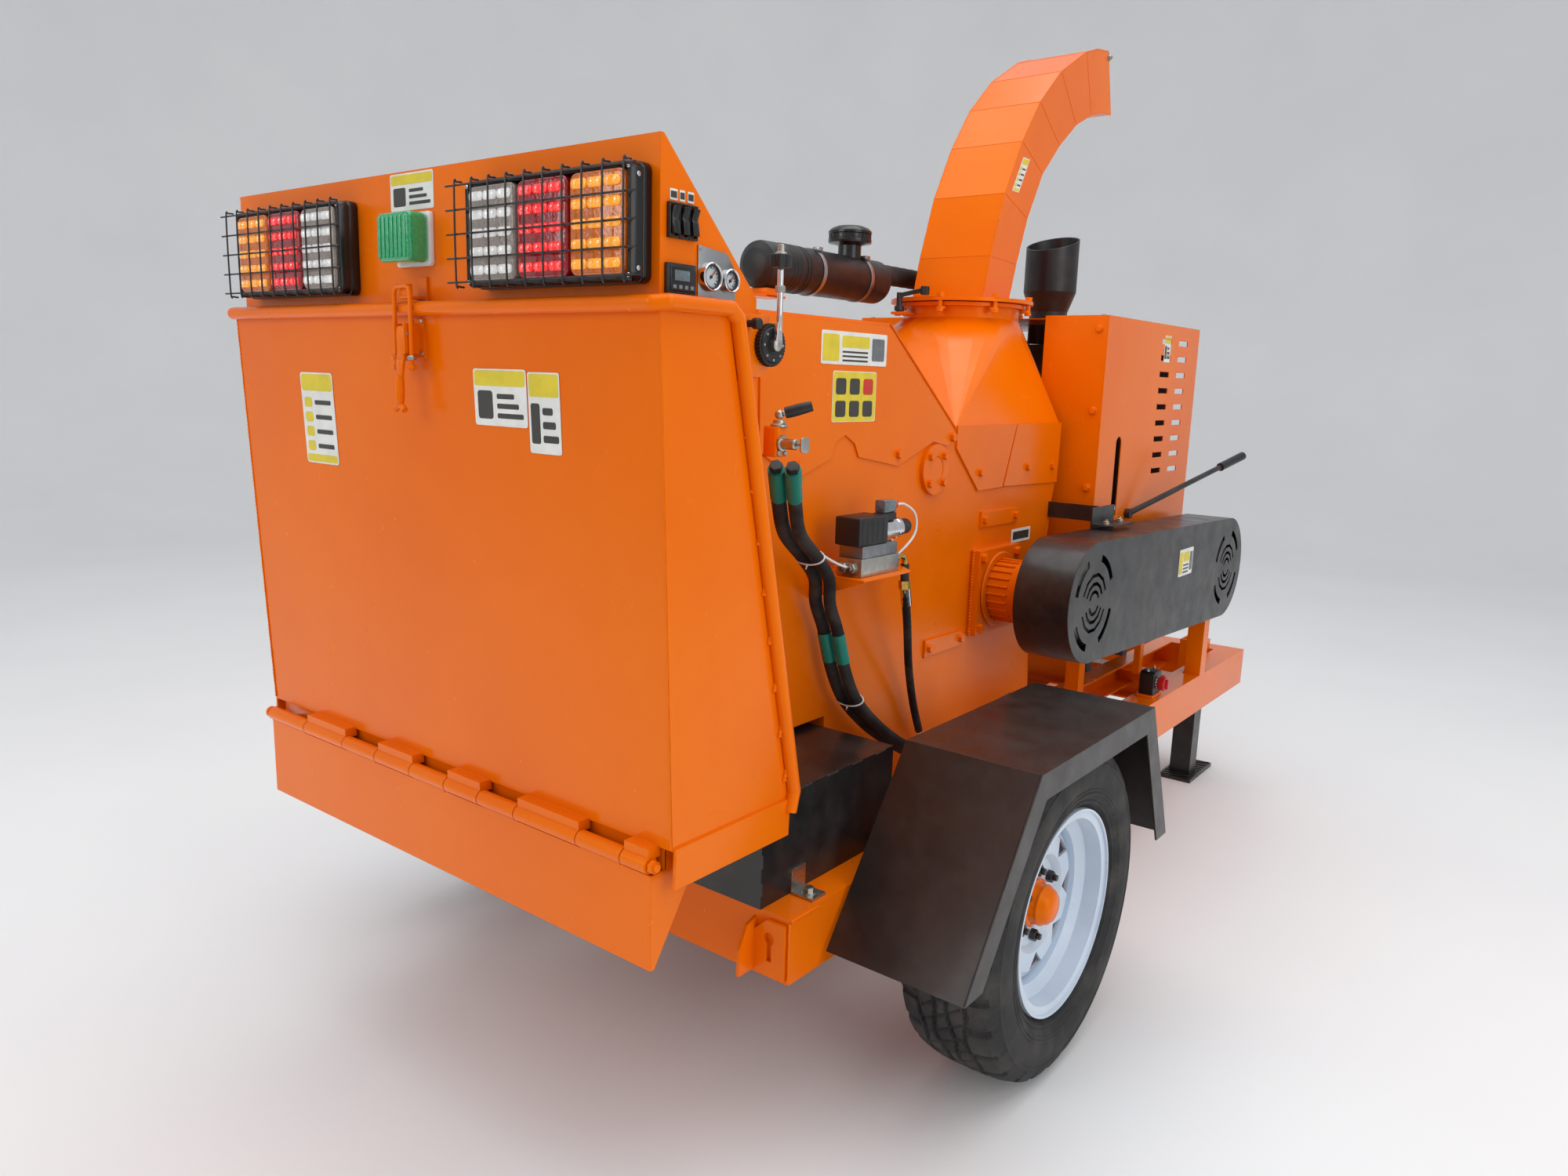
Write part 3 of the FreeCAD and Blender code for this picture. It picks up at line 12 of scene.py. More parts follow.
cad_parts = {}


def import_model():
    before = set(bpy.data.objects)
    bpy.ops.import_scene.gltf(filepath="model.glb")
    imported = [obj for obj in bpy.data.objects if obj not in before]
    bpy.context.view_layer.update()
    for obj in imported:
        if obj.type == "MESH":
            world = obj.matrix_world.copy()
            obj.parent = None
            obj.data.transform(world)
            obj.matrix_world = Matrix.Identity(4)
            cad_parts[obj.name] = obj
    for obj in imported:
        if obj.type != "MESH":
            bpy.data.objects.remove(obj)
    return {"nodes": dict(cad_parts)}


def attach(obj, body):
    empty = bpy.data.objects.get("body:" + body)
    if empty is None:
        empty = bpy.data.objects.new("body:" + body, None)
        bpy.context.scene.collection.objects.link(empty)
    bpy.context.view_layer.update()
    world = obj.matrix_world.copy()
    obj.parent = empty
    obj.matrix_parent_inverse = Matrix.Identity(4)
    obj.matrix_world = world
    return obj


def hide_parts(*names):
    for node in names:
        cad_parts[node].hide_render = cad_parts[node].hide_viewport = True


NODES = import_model()["nodes"]
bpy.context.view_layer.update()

# The frame's origin is midway along the machine; this carries the axle line into it (m)
ROW_Y = -0.615489
RIGHT, FRONT, REAR, UP = (1, 0, 0), (0, 1, 0), (0, -1, 0), (0, 0, 1)
SIDES = (1, -1)

# Driving places shared by several pieces, mm
AXLE_Z = 340
ROTOR_Y, ROTOR_Z = 560, 850
LAMP_BACK_Y = -892.2
PANEL_X = 540


# ------------------------------------------------------------------ materials
def srgb(*channels):
    """Linear RGBA of an 8-bit sRGB colour."""
    def linear(c):
        c = c / 255.0
        return c / 12.92 if c <= 0.04045 else ((c + 0.055) / 1.055) ** 2.4
    return (*[linear(c) for c in channels], 1.0)


def shade(colour, factor):
    return (*[c * factor for c in colour[:3]], 1.0)


class Shader:
    """A material being wired, textured in object coordinates."""

    def __init__(self, name):
        self.material = bpy.data.materials.new(name)
        self.material.use_nodes = True
        self.tree = self.material.node_tree
        self.bsdf = self.tree.nodes["Principled BSDF"]
        self.coords = self.node("ShaderNodeTexCoord").outputs["Object"]

    def feed(self, socket, value):
        """Link an output into the socket, or set the socket's value."""
        if isinstance(value, bpy.types.NodeSocket):
            self.tree.links.new(value, socket)
        else:
            socket.default_value = value

    def node(self, kind, inputs=None, **settings):
        made = self.tree.nodes.new(kind)
        for key, value in settings.items():
            setattr(made, key, value)
        for key, value in (inputs or {}).items():
            self.feed(made.inputs[key], value)
        return made

    def noise(self, scale, detail=4.0, rough=0.55, stretch=None):
        made = self.node("ShaderNodeTexNoise",
                         {"Scale": scale, "Detail": detail, "Roughness": rough})
        vector = self.coords
        if stretch:
            mapping = self.node("ShaderNodeMapping", {"Scale": stretch, "Vector": vector})
            vector = mapping.outputs["Vector"]
        self.feed(made.inputs["Vector"], vector)
        return made.outputs["Fac"]

    def remap(self, value, span, to):
        made = self.node("ShaderNodeMapRange", {
            "From Min": span[0], "From Max": span[1],
            "To Min": to[0], "To Max": to[1], "Value": value})
        return made.outputs["Result"]

    def mix(self, factor, first, second):
        # Sockets 6 and 7 are the Mix node's colour inputs, output 2 its colour
        made = self.node("ShaderNodeMix", {"Factor": factor, 6: first, 7: second},
                         data_type="RGBA")
        return made.outputs[2]

    def bump(self, *layers, edge=0.0):
        """Stack bump layers (dicts of inputs); edge is the corner rounding radius in m."""
        normal = None
        if edge > 0:
            bevel = self.node("ShaderNodeBevel", {"Radius": edge}, samples=4)
            normal = bevel.outputs["Normal"]
        for layer in layers:
            made = self.node("ShaderNodeBump", layer)
            if normal is not None:
                self.feed(made.inputs["Normal"], normal)
            normal = made.outputs["Normal"]
        self.feed(self.bsdf.inputs["Normal"], normal)

    def set(self, **inputs):
        for key, value in inputs.items():
            self.feed(self.bsdf.inputs[key.replace("_", " ")], value)


def paint(name, base, dark, rough, coat=0.35, dust=0.0, peel=0.10, wave=0.16, edge=0.0016,
          tint=None):
    """Sprayed paint. peel: fine orange peel, wave: slow unevenness, tint: specular tint."""
    shader = Shader(name)
    broad = shader.noise(scale=2.2, detail=5)
    specks = shader.noise(scale=38, detail=6, rough=0.6)
    colour = shader.mix(shader.remap(broad, span=(0.35, 0.7), to=(0.0, 1.0)), base, dark)
    colour = shader.mix(shader.remap(specks, span=(0.62, 0.78), to=(0.0, 0.35)), colour, dark)
    if dust > 0:
        film = shader.noise(scale=9, detail=8, rough=0.7)
        colour = shader.mix(shader.remap(film, span=(0.45, 0.75), to=(0.0, dust)), colour,
                            srgb(150, 140, 128))
    wear = shader.noise(scale=14, detail=6, rough=0.6)
    shader.set(Base_Color=colour, Coat_Weight=coat, Coat_Roughness=0.12,
               Roughness=shader.remap(wear, span=(0.3, 0.75), to=(rough * 0.8, rough * 1.35)))
    if tint:
        shader.set(Specular_Tint=tint)
    shader.bump(
        dict(Height=shader.noise(scale=3.1, detail=2), Strength=wave, Distance=0.012),
        dict(Height=shader.noise(scale=520, detail=2), Strength=peel, Distance=0.0006),
        dict(Height=shader.noise(scale=90, detail=4), Strength=peel * 0.6, Distance=0.001),
        edge=edge)
    return shader.material


def plastic(name, base, rough=0.42, grain=0.25):
    shader = Shader(name)
    mottle = shader.remap(shader.noise(scale=30, detail=5), span=(0.4, 0.7), to=(0.0, 0.5))
    shader.set(
        Base_Color=shader.mix(mottle, base, shade(base, 0.72)),
        Roughness=shader.remap(shader.noise(scale=24, detail=5), span=(0.3, 0.7),
                               to=(rough * 0.85, rough * 1.2)))
    shader.bump(
        dict(Height=shader.noise(scale=900, detail=2), Strength=grain, Distance=0.0004),
        dict(Height=shader.noise(scale=40, detail=3), Strength=grain * 0.5, Distance=0.0006),
        edge=0.0009)
    return shader.material


def metal(name, base, rough, brushed=None):
    """Bare metal; brushed stretches the noise into streaks."""
    shader = Shader(name)
    streaks = shader.noise(scale=160 if brushed else 60, detail=4 if brushed else 5,
                           rough=0.6, stretch=brushed)
    shader.set(
        Base_Color=shader.mix(shader.remap(streaks, span=(0.35, 0.7), to=(0.0, 0.6)),
                              base, shade(base, 0.66)),
        Metallic=1.0,
        Roughness=shader.remap(streaks, span=(0.3, 0.7), to=(rough * 0.7, rough * 1.4)))
    shader.bump(dict(Height=streaks, Strength=0.12, Distance=0.0005), edge=0.0006)
    return shader.material


def rubber(name, base, grain):
    shader = Shader(name)
    dust = shader.noise(scale=11, detail=7, rough=0.65)
    shader.set(
        Base_Color=shader.mix(shader.remap(dust, span=(0.45, 0.8), to=(0.0, 0.38)),
                              base, srgb(122, 116, 108)),
        Roughness=shader.remap(dust, span=(0.3, 0.7), to=(0.62, 0.85)),
        Specular_IOR_Level=0.35)
    shader.bump(
        dict(Height=shader.noise(scale=700, detail=3), Strength=grain, Distance=0.0005),
        dict(Height=shader.noise(scale=70, detail=5), Strength=grain * 0.6, Distance=0.0008))
    return shader.material


def lens(name, base, emit=0.0):
    """Clear moulded plastic with a cell pattern."""
    shader = Shader(name)
    cells = shader.node("ShaderNodeTexVoronoi", {"Scale": 190, "Vector": shader.coords})
    cells = cells.outputs["Distance"]
    bright = (*[min(1.0, c * 1.5 + 0.02) for c in base[:3]], 1.0)
    shader.set(
        Base_Color=shader.mix(shader.remap(cells, span=(0.0, 0.7), to=(0.0, 0.6)),
                              base, bright),
        Roughness=0.08, Transmission_Weight=0.25, IOR=1.49,
        Coat_Weight=0.8, Coat_Roughness=0.03)
    shader.bump(dict(Height=cells, Strength=0.35, Distance=0.0015))
    if emit:
        shader.set(Emission_Color=base, Emission_Strength=emit)
    return shader.material


ORANGE_TINT = (1.0, 0.42, 0.06, 1)
ORANGE = paint("orange_gloss_paint", srgb(242, 114, 0), srgb(234, 104, 0), rough=0.22,
               coat=0.10, tint=ORANGE_TINT)
ORANGE_CAST = paint("orange_painted_casting", srgb(244, 116, 0), srgb(230, 100, 0), rough=0.33,
                    coat=0.10, peel=0.35, wave=0.3, edge=0.003, tint=ORANGE_TINT)
BLACK = paint("black_satin_paint", srgb(24, 24, 25), srgb(15, 15, 16), rough=0.36,
              coat=0.15, dust=0.10)
FENDER = paint("black_fender_paint", srgb(33, 27, 24), srgb(23, 19, 17), rough=0.38,
               coat=0.16, dust=0.05, wave=0.2)
WHITE = paint("white_rim_paint", srgb(214, 226, 238), srgb(196, 210, 226), rough=0.33,
              peel=0.08, wave=0.06, dust=0.10)
GREY_CAST = paint("cast_iron_grey", srgb(96, 98, 102), srgb(66, 68, 72), rough=0.55,
                  peel=0.5, wave=0.3, coat=0.0, dust=0.2)
RED_KNOB = paint("red_knob_plastic", srgb(196, 24, 30), srgb(160, 14, 20), rough=0.35,
                 peel=0.05, wave=0.0)
EXHAUST = paint("black_heat_paint", srgb(20, 20, 22), srgb(13, 13, 14), rough=0.42,
                coat=0.05, dust=0.08, peel=0.3)

PLASTIC = plastic("black_moulded_plastic", srgb(26, 26, 27))
GLOSS_BLACK = plastic("black_gloss_housing", srgb(20, 20, 21), rough=0.2, grain=0.06)
WHITE_FILM = plastic("white_label_film", srgb(232, 232, 226), rough=0.35, grain=0.05)
YELLOW_FILM = plastic("yellow_label_film", srgb(226, 204, 46), rough=0.35, grain=0.05)
INK = plastic("dark_label_ink", srgb(58, 56, 52), rough=0.4, grain=0.05)
TEAL = plastic("teal_tape", srgb(16, 128, 112), rough=0.4, grain=0.3)
NYLON = plastic("white_nylon", srgb(226, 226, 222), rough=0.35, grain=0.1)
RED_SEAL = plastic("red_seal_plastic", srgb(206, 50, 30), rough=0.3, grain=0.1)

ZINC = metal("zinc_plated_steel", srgb(188, 186, 178), rough=0.32)
CHROME = metal("bright_chrome", srgb(226, 226, 228), rough=0.09)
BRASS = metal("yellow_passivated_brass", srgb(206, 168, 84), rough=0.25)
STEEL = metal("brushed_steel_plate", srgb(176, 178, 180), rough=0.34, brushed=(1, 1, 24))
ALU = metal("anodised_aluminium", srgb(150, 152, 156), rough=0.4)

TYRE = rubber("tyre_rubber", srgb(38, 38, 39), grain=0.5)
HOSE = rubber("hose_rubber", srgb(26, 26, 27), grain=0.3)

CLEAR_LENS = lens("clear_lamp_lens", srgb(244, 243, 240), emit=0.12)
RED_LENS = lens("red_lamp_lens", srgb(252, 26, 26), emit=0.35)
AMBER_LENS = lens("amber_lamp_lens", srgb(255, 164, 24), emit=0.30)
CLEAR_BODY = lens("clear_lamp_body", srgb(150, 138, 128))
RED_BODY = lens("red_lamp_body", srgb(150, 6, 22), emit=0.03)
AMBER_BODY = lens("amber_lamp_body", srgb(206, 108, 8), emit=0.03)
GREEN_LENS = lens("green_lamp_lens", srgb(8, 150, 92), emit=0.10)
GLASS = lens("gauge_glass", srgb(90, 104, 110))
DIAL = plastic("white_gauge_dial", srgb(196, 206, 208), rough=0.4, grain=0.03)

# CAD nodes by material; any other node is black plastic
NODE_MATERIALS = (
    ("feed_tray infeed_hopper light_panel side_covers discharge_transition discharge_chute "
     "chute_flap engine_hood chassis_frame housing_bolts upper_roller_arm tray_hinge_pin", ORANGE),
    ("chipper_housing rotor_bearings wheel_hub_right wheel_hub_left", ORANGE_CAST),
    ("hydraulic_tank fuel_tank belt_guard jack_leg_right jack_leg_left drawbar valve_manifold "
     "chute_clamp clutch_lever rotor_drum upper_feed_roller lower_feed_roller feed_motor_lower",
     BLACK),
    ("fenders", FENDER),
    ("wheel_rim_right wheel_rim_left", WHITE),
    ("tyre_right tyre_left", TYRE),
    ("engine", GREY_CAST),
    ("exhaust_stack", EXHAUST),
    ("isolator_knob", RED_KNOB),
    ("hydraulic_hoses drive_belts", HOSE),
    ("rotor_knives mounting_brackets ignition_key rotor_pulley engine_pulley", ZINC),
    ("tail_lamp_lenses", RED_LENS),
    ("marker_lamp", GREEN_LENS))


def coat_nodes():
    chosen = {node: mat for names, mat in NODE_MATERIALS for node in names.split()}
    for name, node in NODES.items():
        node.data.materials.clear()
        node.data.materials.append(chosen.get(name, PLASTIC))


# ----------------------------------------------------------------- mesh tools
def mm(*point):
    """A point in mm as a vector in metres."""
    return Vector([c / 1000.0 for c in point])


def turns(count):
    """Angles evenly spaced round a full turn."""
    return [2 * pi * k / count for k in range(count)]


def polar(u, v, radius, angle):
    return (u + radius * cos(angle), v + radius * sin(angle))


def rect(u0, u1, v0, v1):
    return [(u0, v0), (u1, v0), (u1, v1), (u0, v1)]


def rounded(u0, u1, v0, v1, radius, steps=6):
    """Rectangle outline with rounded corners."""
    corners = ((u1, v1), (u0, v1), (u0, v0), (u1, v0))
    inward = ((-1, -1), (1, -1), (1, 1), (-1, 1))
    return [polar(u + du * radius, v + dv * radius, radius, radians(90 * turn + 90 * k / steps))
            for turn, ((u, v), (du, dv)) in enumerate(zip(corners, inward))
            for k in range(steps + 1)]


def lobed(u, v, radius, depth, lobes):
    """Circle outline with a wavy radius."""
    return [polar(u, v, radius + depth * cos(lobes * a), a) for a in turns(60)]


def spline(points, steps):
    """Catmull-Rom curve through the points."""
    ends = [Vector(point) for point in points]
    ends = [ends[0] * 2 - ends[1]] + ends + [ends[-1] * 2 - ends[-2]]
    line = []
    for a, b, c, d in zip(ends, ends[1:], ends[2:], ends[3:]):
        for k in range(steps):
            t = k / steps
            line.append(0.5 * ((2 * b) + (c - a) * t + (2 * a - 5 * b + 4 * c - d) * t * t
                               + (3 * b - a - 3 * c + d) * t ** 3))
    return line + [ends[-2]]


def bevel(bm, edges, offset, segments):
    bmesh.ops.bevel(bm, geom=edges, offset=offset / 1000, segments=segments, profile=0.5,
                    affect="EDGES", clamp_overlap=True)


class Piece:
    """One object gathered from bevelled plates, turned forms and swept tubes. Sizes in mm."""

    def __init__(self, name):
        self.name = name
        self.verts, self.faces, self.face_mats, self.mats = [], [], [], []

    def raw(self, verts, faces, mat):
        """Add vertices (m) and faces."""
        if mat not in self.mats:
            self.mats.append(mat)
        start = len(self.verts)
        self.verts += [Vector(v) for v in verts]
        self.faces += [[start + i for i in face] for face in faces]
        self.face_mats += [self.mats.index(mat)] * len(faces)

    def take(self, bm, mat, place):
        """Add a bmesh, moved by the place matrix if there is one."""
        if place is not None:
            bm.transform(place)
        bm.verts.index_update()
        self.raw([v.co for v in bm.verts], [[v.index for v in f.verts] for f in bm.faces], mat)
        bm.free()

    def box(self, x0, x1, y0, y1, z0, z1, mat, edge, segments=2, place=None):
        bm = bmesh.new()
        bmesh.ops.create_cube(bm, size=1)
        for v in bm.verts:
            v.co = mm(x0 + (x1 - x0) * (v.co.x + 0.5), y0 + (y1 - y0) * (v.co.y + 0.5),
                      z0 + (z1 - z0) * (v.co.z + 0.5))
        limit = min(abs(x1 - x0), abs(y1 - y0), abs(z1 - z0)) * 0.45
        bevel(bm, bm.edges[:], min(edge, limit), segments)
        bmesh.ops.recalc_face_normals(bm, faces=bm.faces[:])
        self.take(bm, mat, place)

    def prism(self, outline, axis, start, end, mat, edge=1.0, segments=2, place=None):
        """Outline in the plane across the axis (other two axes in order), start to end."""
        bm = bmesh.new()
        put = {"X": lambda u, v, a: mm(a, u, v), "Y": lambda u, v, a: mm(u, a, v),
               "Z": lambda u, v, a: mm(u, v, a)}[axis]
        low = [bm.verts.new(put(u, v, start)) for u, v in outline]
        high = [bm.verts.new(put(u, v, end)) for u, v in outline]
        bm.faces.new(low)
        bm.faces.new(high[::-1])
        for i in range(len(outline)):
            j = (i + 1) % len(outline)
            bm.faces.new((low[i], high[i], high[j], low[j]))
        bmesh.ops.recalc_face_normals(bm, faces=bm.faces[:])
        sharp = [e for e in bm.edges if len(e.link_faces) == 2 and e.calc_face_angle(0) > 0.45]
        bevel(bm, sharp, min(edge, abs(end - start) * 0.45), segments)
        self.take(bm, mat, place)

    def lathe(self, base, axis, profile, mat, segments=40, closed=False):
        """Turn a profile of (distance along the axis from base, radius)."""
        axis = Vector(axis).normalized()
        side = axis.orthogonal().normalized()
        other = axis.cross(side)
        base = mm(*base)
        verts, faces, rows = [], [], []
        for along, radius in profile:
            centre = base + axis * along / 1000
            start = len(verts)
            if radius <= 1e-6:
                verts.append(centre)
            else:
                verts += [centre + (side * cos(a) + other * sin(a)) * radius / 1000
                          for a in turns(segments)]
            rows.append(range(start, len(verts)))
        pairs = list(zip(rows[:-1], rows[1:]))
        if closed:
            pairs.append((rows[-1], rows[0]))
        for low, high in pairs:
            if len(low) == 1 and len(high) == 1:
                continue
            for k in range(segments):
                j = (k + 1) % segments
                if len(low) == 1:
                    faces.append((low[0], high[k], high[j]))
                elif len(high) == 1:
                    faces.append((low[j], low[k], high[0]))
                else:
                    faces.append((low[j], low[k], high[k], high[j]))
        self.raw(verts, faces, mat)

    def rod(self, base, axis, r, length, mat, edge=0.8, segments=32):
        b = min(edge, r * 0.4, length * 0.4)
        self.lathe(base, axis, [
            (0, 0), (0, r - b), (b * 0.3, r - b * 0.3), (b, r), (length - b, r),
            (length - b * 0.3, r - b * 0.3), (length, r - b), (length, 0)], mat, segments)

    def ring(self, base, axis, inner, outer, length, mat, segments=48, edge=1.0):
        b = min(edge, (outer - inner) * 0.4, length * 0.4)
        self.lathe(base, axis, [
            (b, inner), (0, inner + b), (0, outer - b), (b, outer), (length - b, outer),
            (length, outer - b), (length, inner + b), (length - b, inner)],
            mat, segments, closed=True)

    def hex(self, base, axis, r, height, mat, spin=0.0, stud=0.0, washer=0.0):
        """Hexagon head; stud is the thread standing proud, washer a washer's radius."""
        axis = Vector(axis).normalized()
        base = Vector(base)
        if washer > 0:
            self.rod(base, axis, washer, 2.2, mat, 0.6, 24)
            base = base + axis * 2.2
        side = Matrix.Rotation(spin, 3, axis) @ axis.orthogonal().normalized()
        other = axis.cross(side)
        verts = [(base + axis * t + (side * cos(pi / 3 * i) + other * sin(pi / 3 * i)) * r * k)
                 / 1000 for t, k in ((0, 1.0), (height - r * 0.16, 1.0), (height, 0.86))
                 for i in range(6)]
        faces = [(row + 6 + (i + 1) % 6, row + 6 + i, row + i, row + (i + 1) % 6)
                 for row in (0, 6) for i in range(6)]
        self.raw(verts, faces + [range(5, -1, -1), range(12, 18)], mat)
        if stud > 0:
            self.rod(base + axis * (height - 1), axis, r * 0.52, stud + 1, mat, 0.8, 18)

    def bar(self, path, r, mat, segments=12, swell=None):
        """Round bar along straight runs; swell(station, count) scales its radius."""
        line = [Vector(point) for point in path]
        verts, faces = [], []
        side = None
        for i, point in enumerate(line):
            along = (line[min(i + 1, len(line) - 1)] - line[max(i - 1, 0)]).normalized()
            if side is None:
                side = along.orthogonal().normalized()
            else:
                side = (side - along * side.dot(along)).normalized()
            other = along.cross(side)
            radius = r * (swell(i, len(line)) if swell else 1.0)
            verts += [(point + (side * cos(a) + other * sin(a)) * radius) / 1000
                      for a in turns(segments)]
        for low in range(0, (len(line) - 1) * segments, segments):
            for k in range(segments):
                j = (k + 1) % segments
                faces.append((low + k, low + j, low + segments + j, low + segments + k))
        faces.append(range(segments - 1, -1, -1))
        faces.append(range((len(line) - 1) * segments, len(verts)))
        self.raw(verts, faces, mat)

    def tube(self, points, r, mat, segments=12, steps=8, swell=None):
        """Round bar along a smooth curve through the points."""
        self.bar(spline(points, steps), r, mat, segments, swell)

    def weld(self, points, r, mat=ORANGE):
        """Rippled weld bead along straight runs."""
        corners = [Vector(point) for point in points]
        line = []
        for a, b in zip(corners[:-1], corners[1:]):
            count = max(2, int((b - a).length / 2.6))
            line += [a.lerp(b, i / count) for i in range(count)]
        line.append(corners[-1])
        self.bar(line, r, mat, 8,
                 lambda i, n: 0.82 + 0.2 * sin(i * 2.1) + 0.12 * sin(i * 0.37 + 1.3))

    def done(self, body, replaces=None, sharp=34):
        """Make the object, riding the body; edges sharper than sharp degrees stay hard."""
        mesh = bpy.data.meshes.new(self.name)
        mesh.from_pydata([(v[0], v[1] + ROW_Y, v[2]) for v in self.verts], [], self.faces)
        for mat in self.mats:
            mesh.materials.append(mat)
        mesh.polygons.foreach_set("material_index", self.face_mats)
        mesh.shade_smooth()
        mesh.set_sharp_from_angle(angle=radians(sharp))
        mesh.update()
        made = bpy.data.objects.new(self.name, mesh)
        bpy.context.scene.collection.objects.link(made)
        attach(made, body)
        if replaces:
            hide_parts(replaces)


# --------------------------------------------------------------------- wheels
TYRE_MID_X = 704.5
TREAD_HALF = 86
TREAD_STEPS = 78
TYRE_SEGMENTS = 810
GROOVE_DEPTH = 8.0
# Tyre wall from bead to tread edge: (distance from the tyre's mid plane, radius)
TYRE_WALL = [
    (78, 192.8), (79.5, 211), (90, 218.5), (93.6, 220), (93.8, 225), (92.6, 227), (97, 233),
    (100.2, 238), (102.2, 239.4), (102.4, 243), (100.9, 244.6), (102.6, 247), (102.8, 250.6),
    (101.4, 252.4), (103.4, 262), (104, 270), (102.6, 286), (101, 296), (102.2, 297.4),
    (101.6, 303), (99.4, 304.8), (95, 314), (TREAD_HALF, 330)]
TYRE_BORE = [(-68, 193.8), (-70, 215), (70, 215), (68, 193.8)]

HUB_FACE_X = 718
# Turned hub forms: (distance outward, radius)
HUB_BODY = [
    (0, 20.5), (0, 43), (3, 46), (102, 46), (104, 50), (104, 81), (107, 84), (117, 84),
    (117.8, 60), (117.8, 32), (145, 32), (145, 20.5)]
HUB_CAP = [
    (6.2, 33), (6.2, 48), (8, 50), (12, 49), (14, 43), (18, 41), (26, 40), (28, 42), (31, 42),
    (34, 39), (43, 35), (50, 27), (54, 15), (55, 0)]


def groove(distance, half_width, slope):
    """1 in a groove's floor, falling to 0 over its sloping side."""
    return min(1.0, max(0.0, (half_width - distance) / slope))


def tread_cut(u, phase):
    """Share of the groove depth cut at u across the tread."""
    zigzag = (2 / pi) * asin(sin(phase)) * 5.0
    cut = 0.0
    for centre in (-46, -16, 16, 46):
        sway = zigzag if centre in (-46, 16) else -zigzag
        cut = max(cut, groove(abs(u - centre - sway), 5.0, 1.3))
    if abs(u) > 52:
        # Cross grooves of the shoulders, staggered left to right
        across = abs(((phase / pi + (0.5 if u > 0 else 0.0)) % 1.0) - 0.5) * 23.7
        cut = max(cut, groove(across, 3.2, 1.2))
    elif abs(u) < 40:
        # Fine slits of the middle ribs
        across = abs(((phase / pi * 2 + u * 0.02) % 1.0) - 0.5) * 11.8
        cut = max(cut, 0.45 * groove(across, 1.3, 0.8))
    return cut


def tyre_profile():
    """Closed section: (distance from mid plane, radius, on the tread)."""
    wall = []
    for a, b in zip(TYRE_WALL, TYRE_WALL[1:]):
        for t in (0.0, 0.5):
            wall.append((a[0] + (b[0] - a[0]) * t, a[1] + (b[1] - a[1]) * t, False))
    tread = []
    for k in range(TREAD_STEPS + 1):
        u = TREAD_HALF - 2 * TREAD_HALF * k / TREAD_STEPS
        tread.append((u, AXLE_Z - 10 * (abs(u) / TREAD_HALF) ** 3.2, True))
    return (wall + tread + [(-u, r, False) for u, r, _ in wall][::-1]
            + [(u, r, False) for u, r in TYRE_BORE])


def tyre(side, tag, body):
    profile = tyre_profile()
    verts, faces = [], []
    for a in turns(TYRE_SEGMENTS):
        phase = a * 45 / pi
        for u, r, on_tread in profile:
            if on_tread:
                r -= GROOVE_DEPTH * tread_cut(u, phase)
            elif abs(u) > 90 and 304 < r < 327 and (phase / pi) % 1.0 < 0.55:
                # Raised blocks round the shoulder
                u += 1.6 if u > 0 else -1.6
            verts.append((side * (TYRE_MID_X + u) / 1000, r * cos(a) / 1000,
                          (AXLE_Z + r * sin(a)) / 1000))
    count = len(profile)
    for s in range(TYRE_SEGMENTS):
        here = s * count
        ahead = ((s + 1) % TYRE_SEGMENTS) * count
        for k in range(count):
            j = (k + 1) % count
            face = (here + k, here + j, ahead + j, ahead + k)
            faces.append(face if side > 0 else face[::-1])
    made = Piece("tyre_detail_" + tag)
    made.raw(verts, faces, TYRE)
    made.done(body, "tyre_" + tag, sharp=40)


def hub(side, tag, body):
    out = (side, 0, 0)
    made = Piece("hub_detail_" + tag)
    made.lathe((side * 600, 0, AXLE_Z), out, HUB_BODY, BLACK, 56, closed=True)
    made.lathe((side * HUB_FACE_X, 0, AXLE_Z), out, HUB_CAP, ORANGE, 56)
    for k in range(6):
        a = radians(60 * k + 30)
        nut = (side * (HUB_FACE_X + HUB_CAP[0][0]), *polar(0, AXLE_Z, 70, a))
        made.hex(nut, out, 12.5, 13, BLACK, a, 8)
    made.done(body, "wheel_hub_" + tag)


def rim_weld(side, tag, body):
    """Bead round the rim, and a stub near the rim's edge."""
    made = Piece("rim_weld_" + tag)
    path = [(side * 707.5, *polar(0, AXLE_Z, 164.5, 2 * pi * k / 240)) for k in range(241)]
    made.bar(path, 2.3, WHITE, 8, lambda i, n: 0.85 + 0.25 * sin(i * 1.9))
    made.rod((side * 760, 0, AXLE_Z + 183), (side, 0, 0), 5, 22, PLASTIC, 1)
    made.done(body)


def wheels():
    ends = ((1, "right", "wheel_r"), (-1, "left", "wheel_l"))
    for end in ends:
        tyre(*end)
    for end in ends:
        hub(*end)
        rim_weld(*end)


# ------------------------------------------------------------------ tail lamps
LAMP_Z0, LAMP_Z1 = 1472, 1622
CLEAR, RED, AMBER = (CLEAR_BODY, CLEAR_LENS), (RED_BODY, RED_LENS), (AMBER_BODY, AMBER_LENS)
# Lamps: (left x, right x, sections from left to right)
LAMPS = ((182, 526, (CLEAR, RED, AMBER)), (-494, -150, (AMBER, RED, CLEAR)))


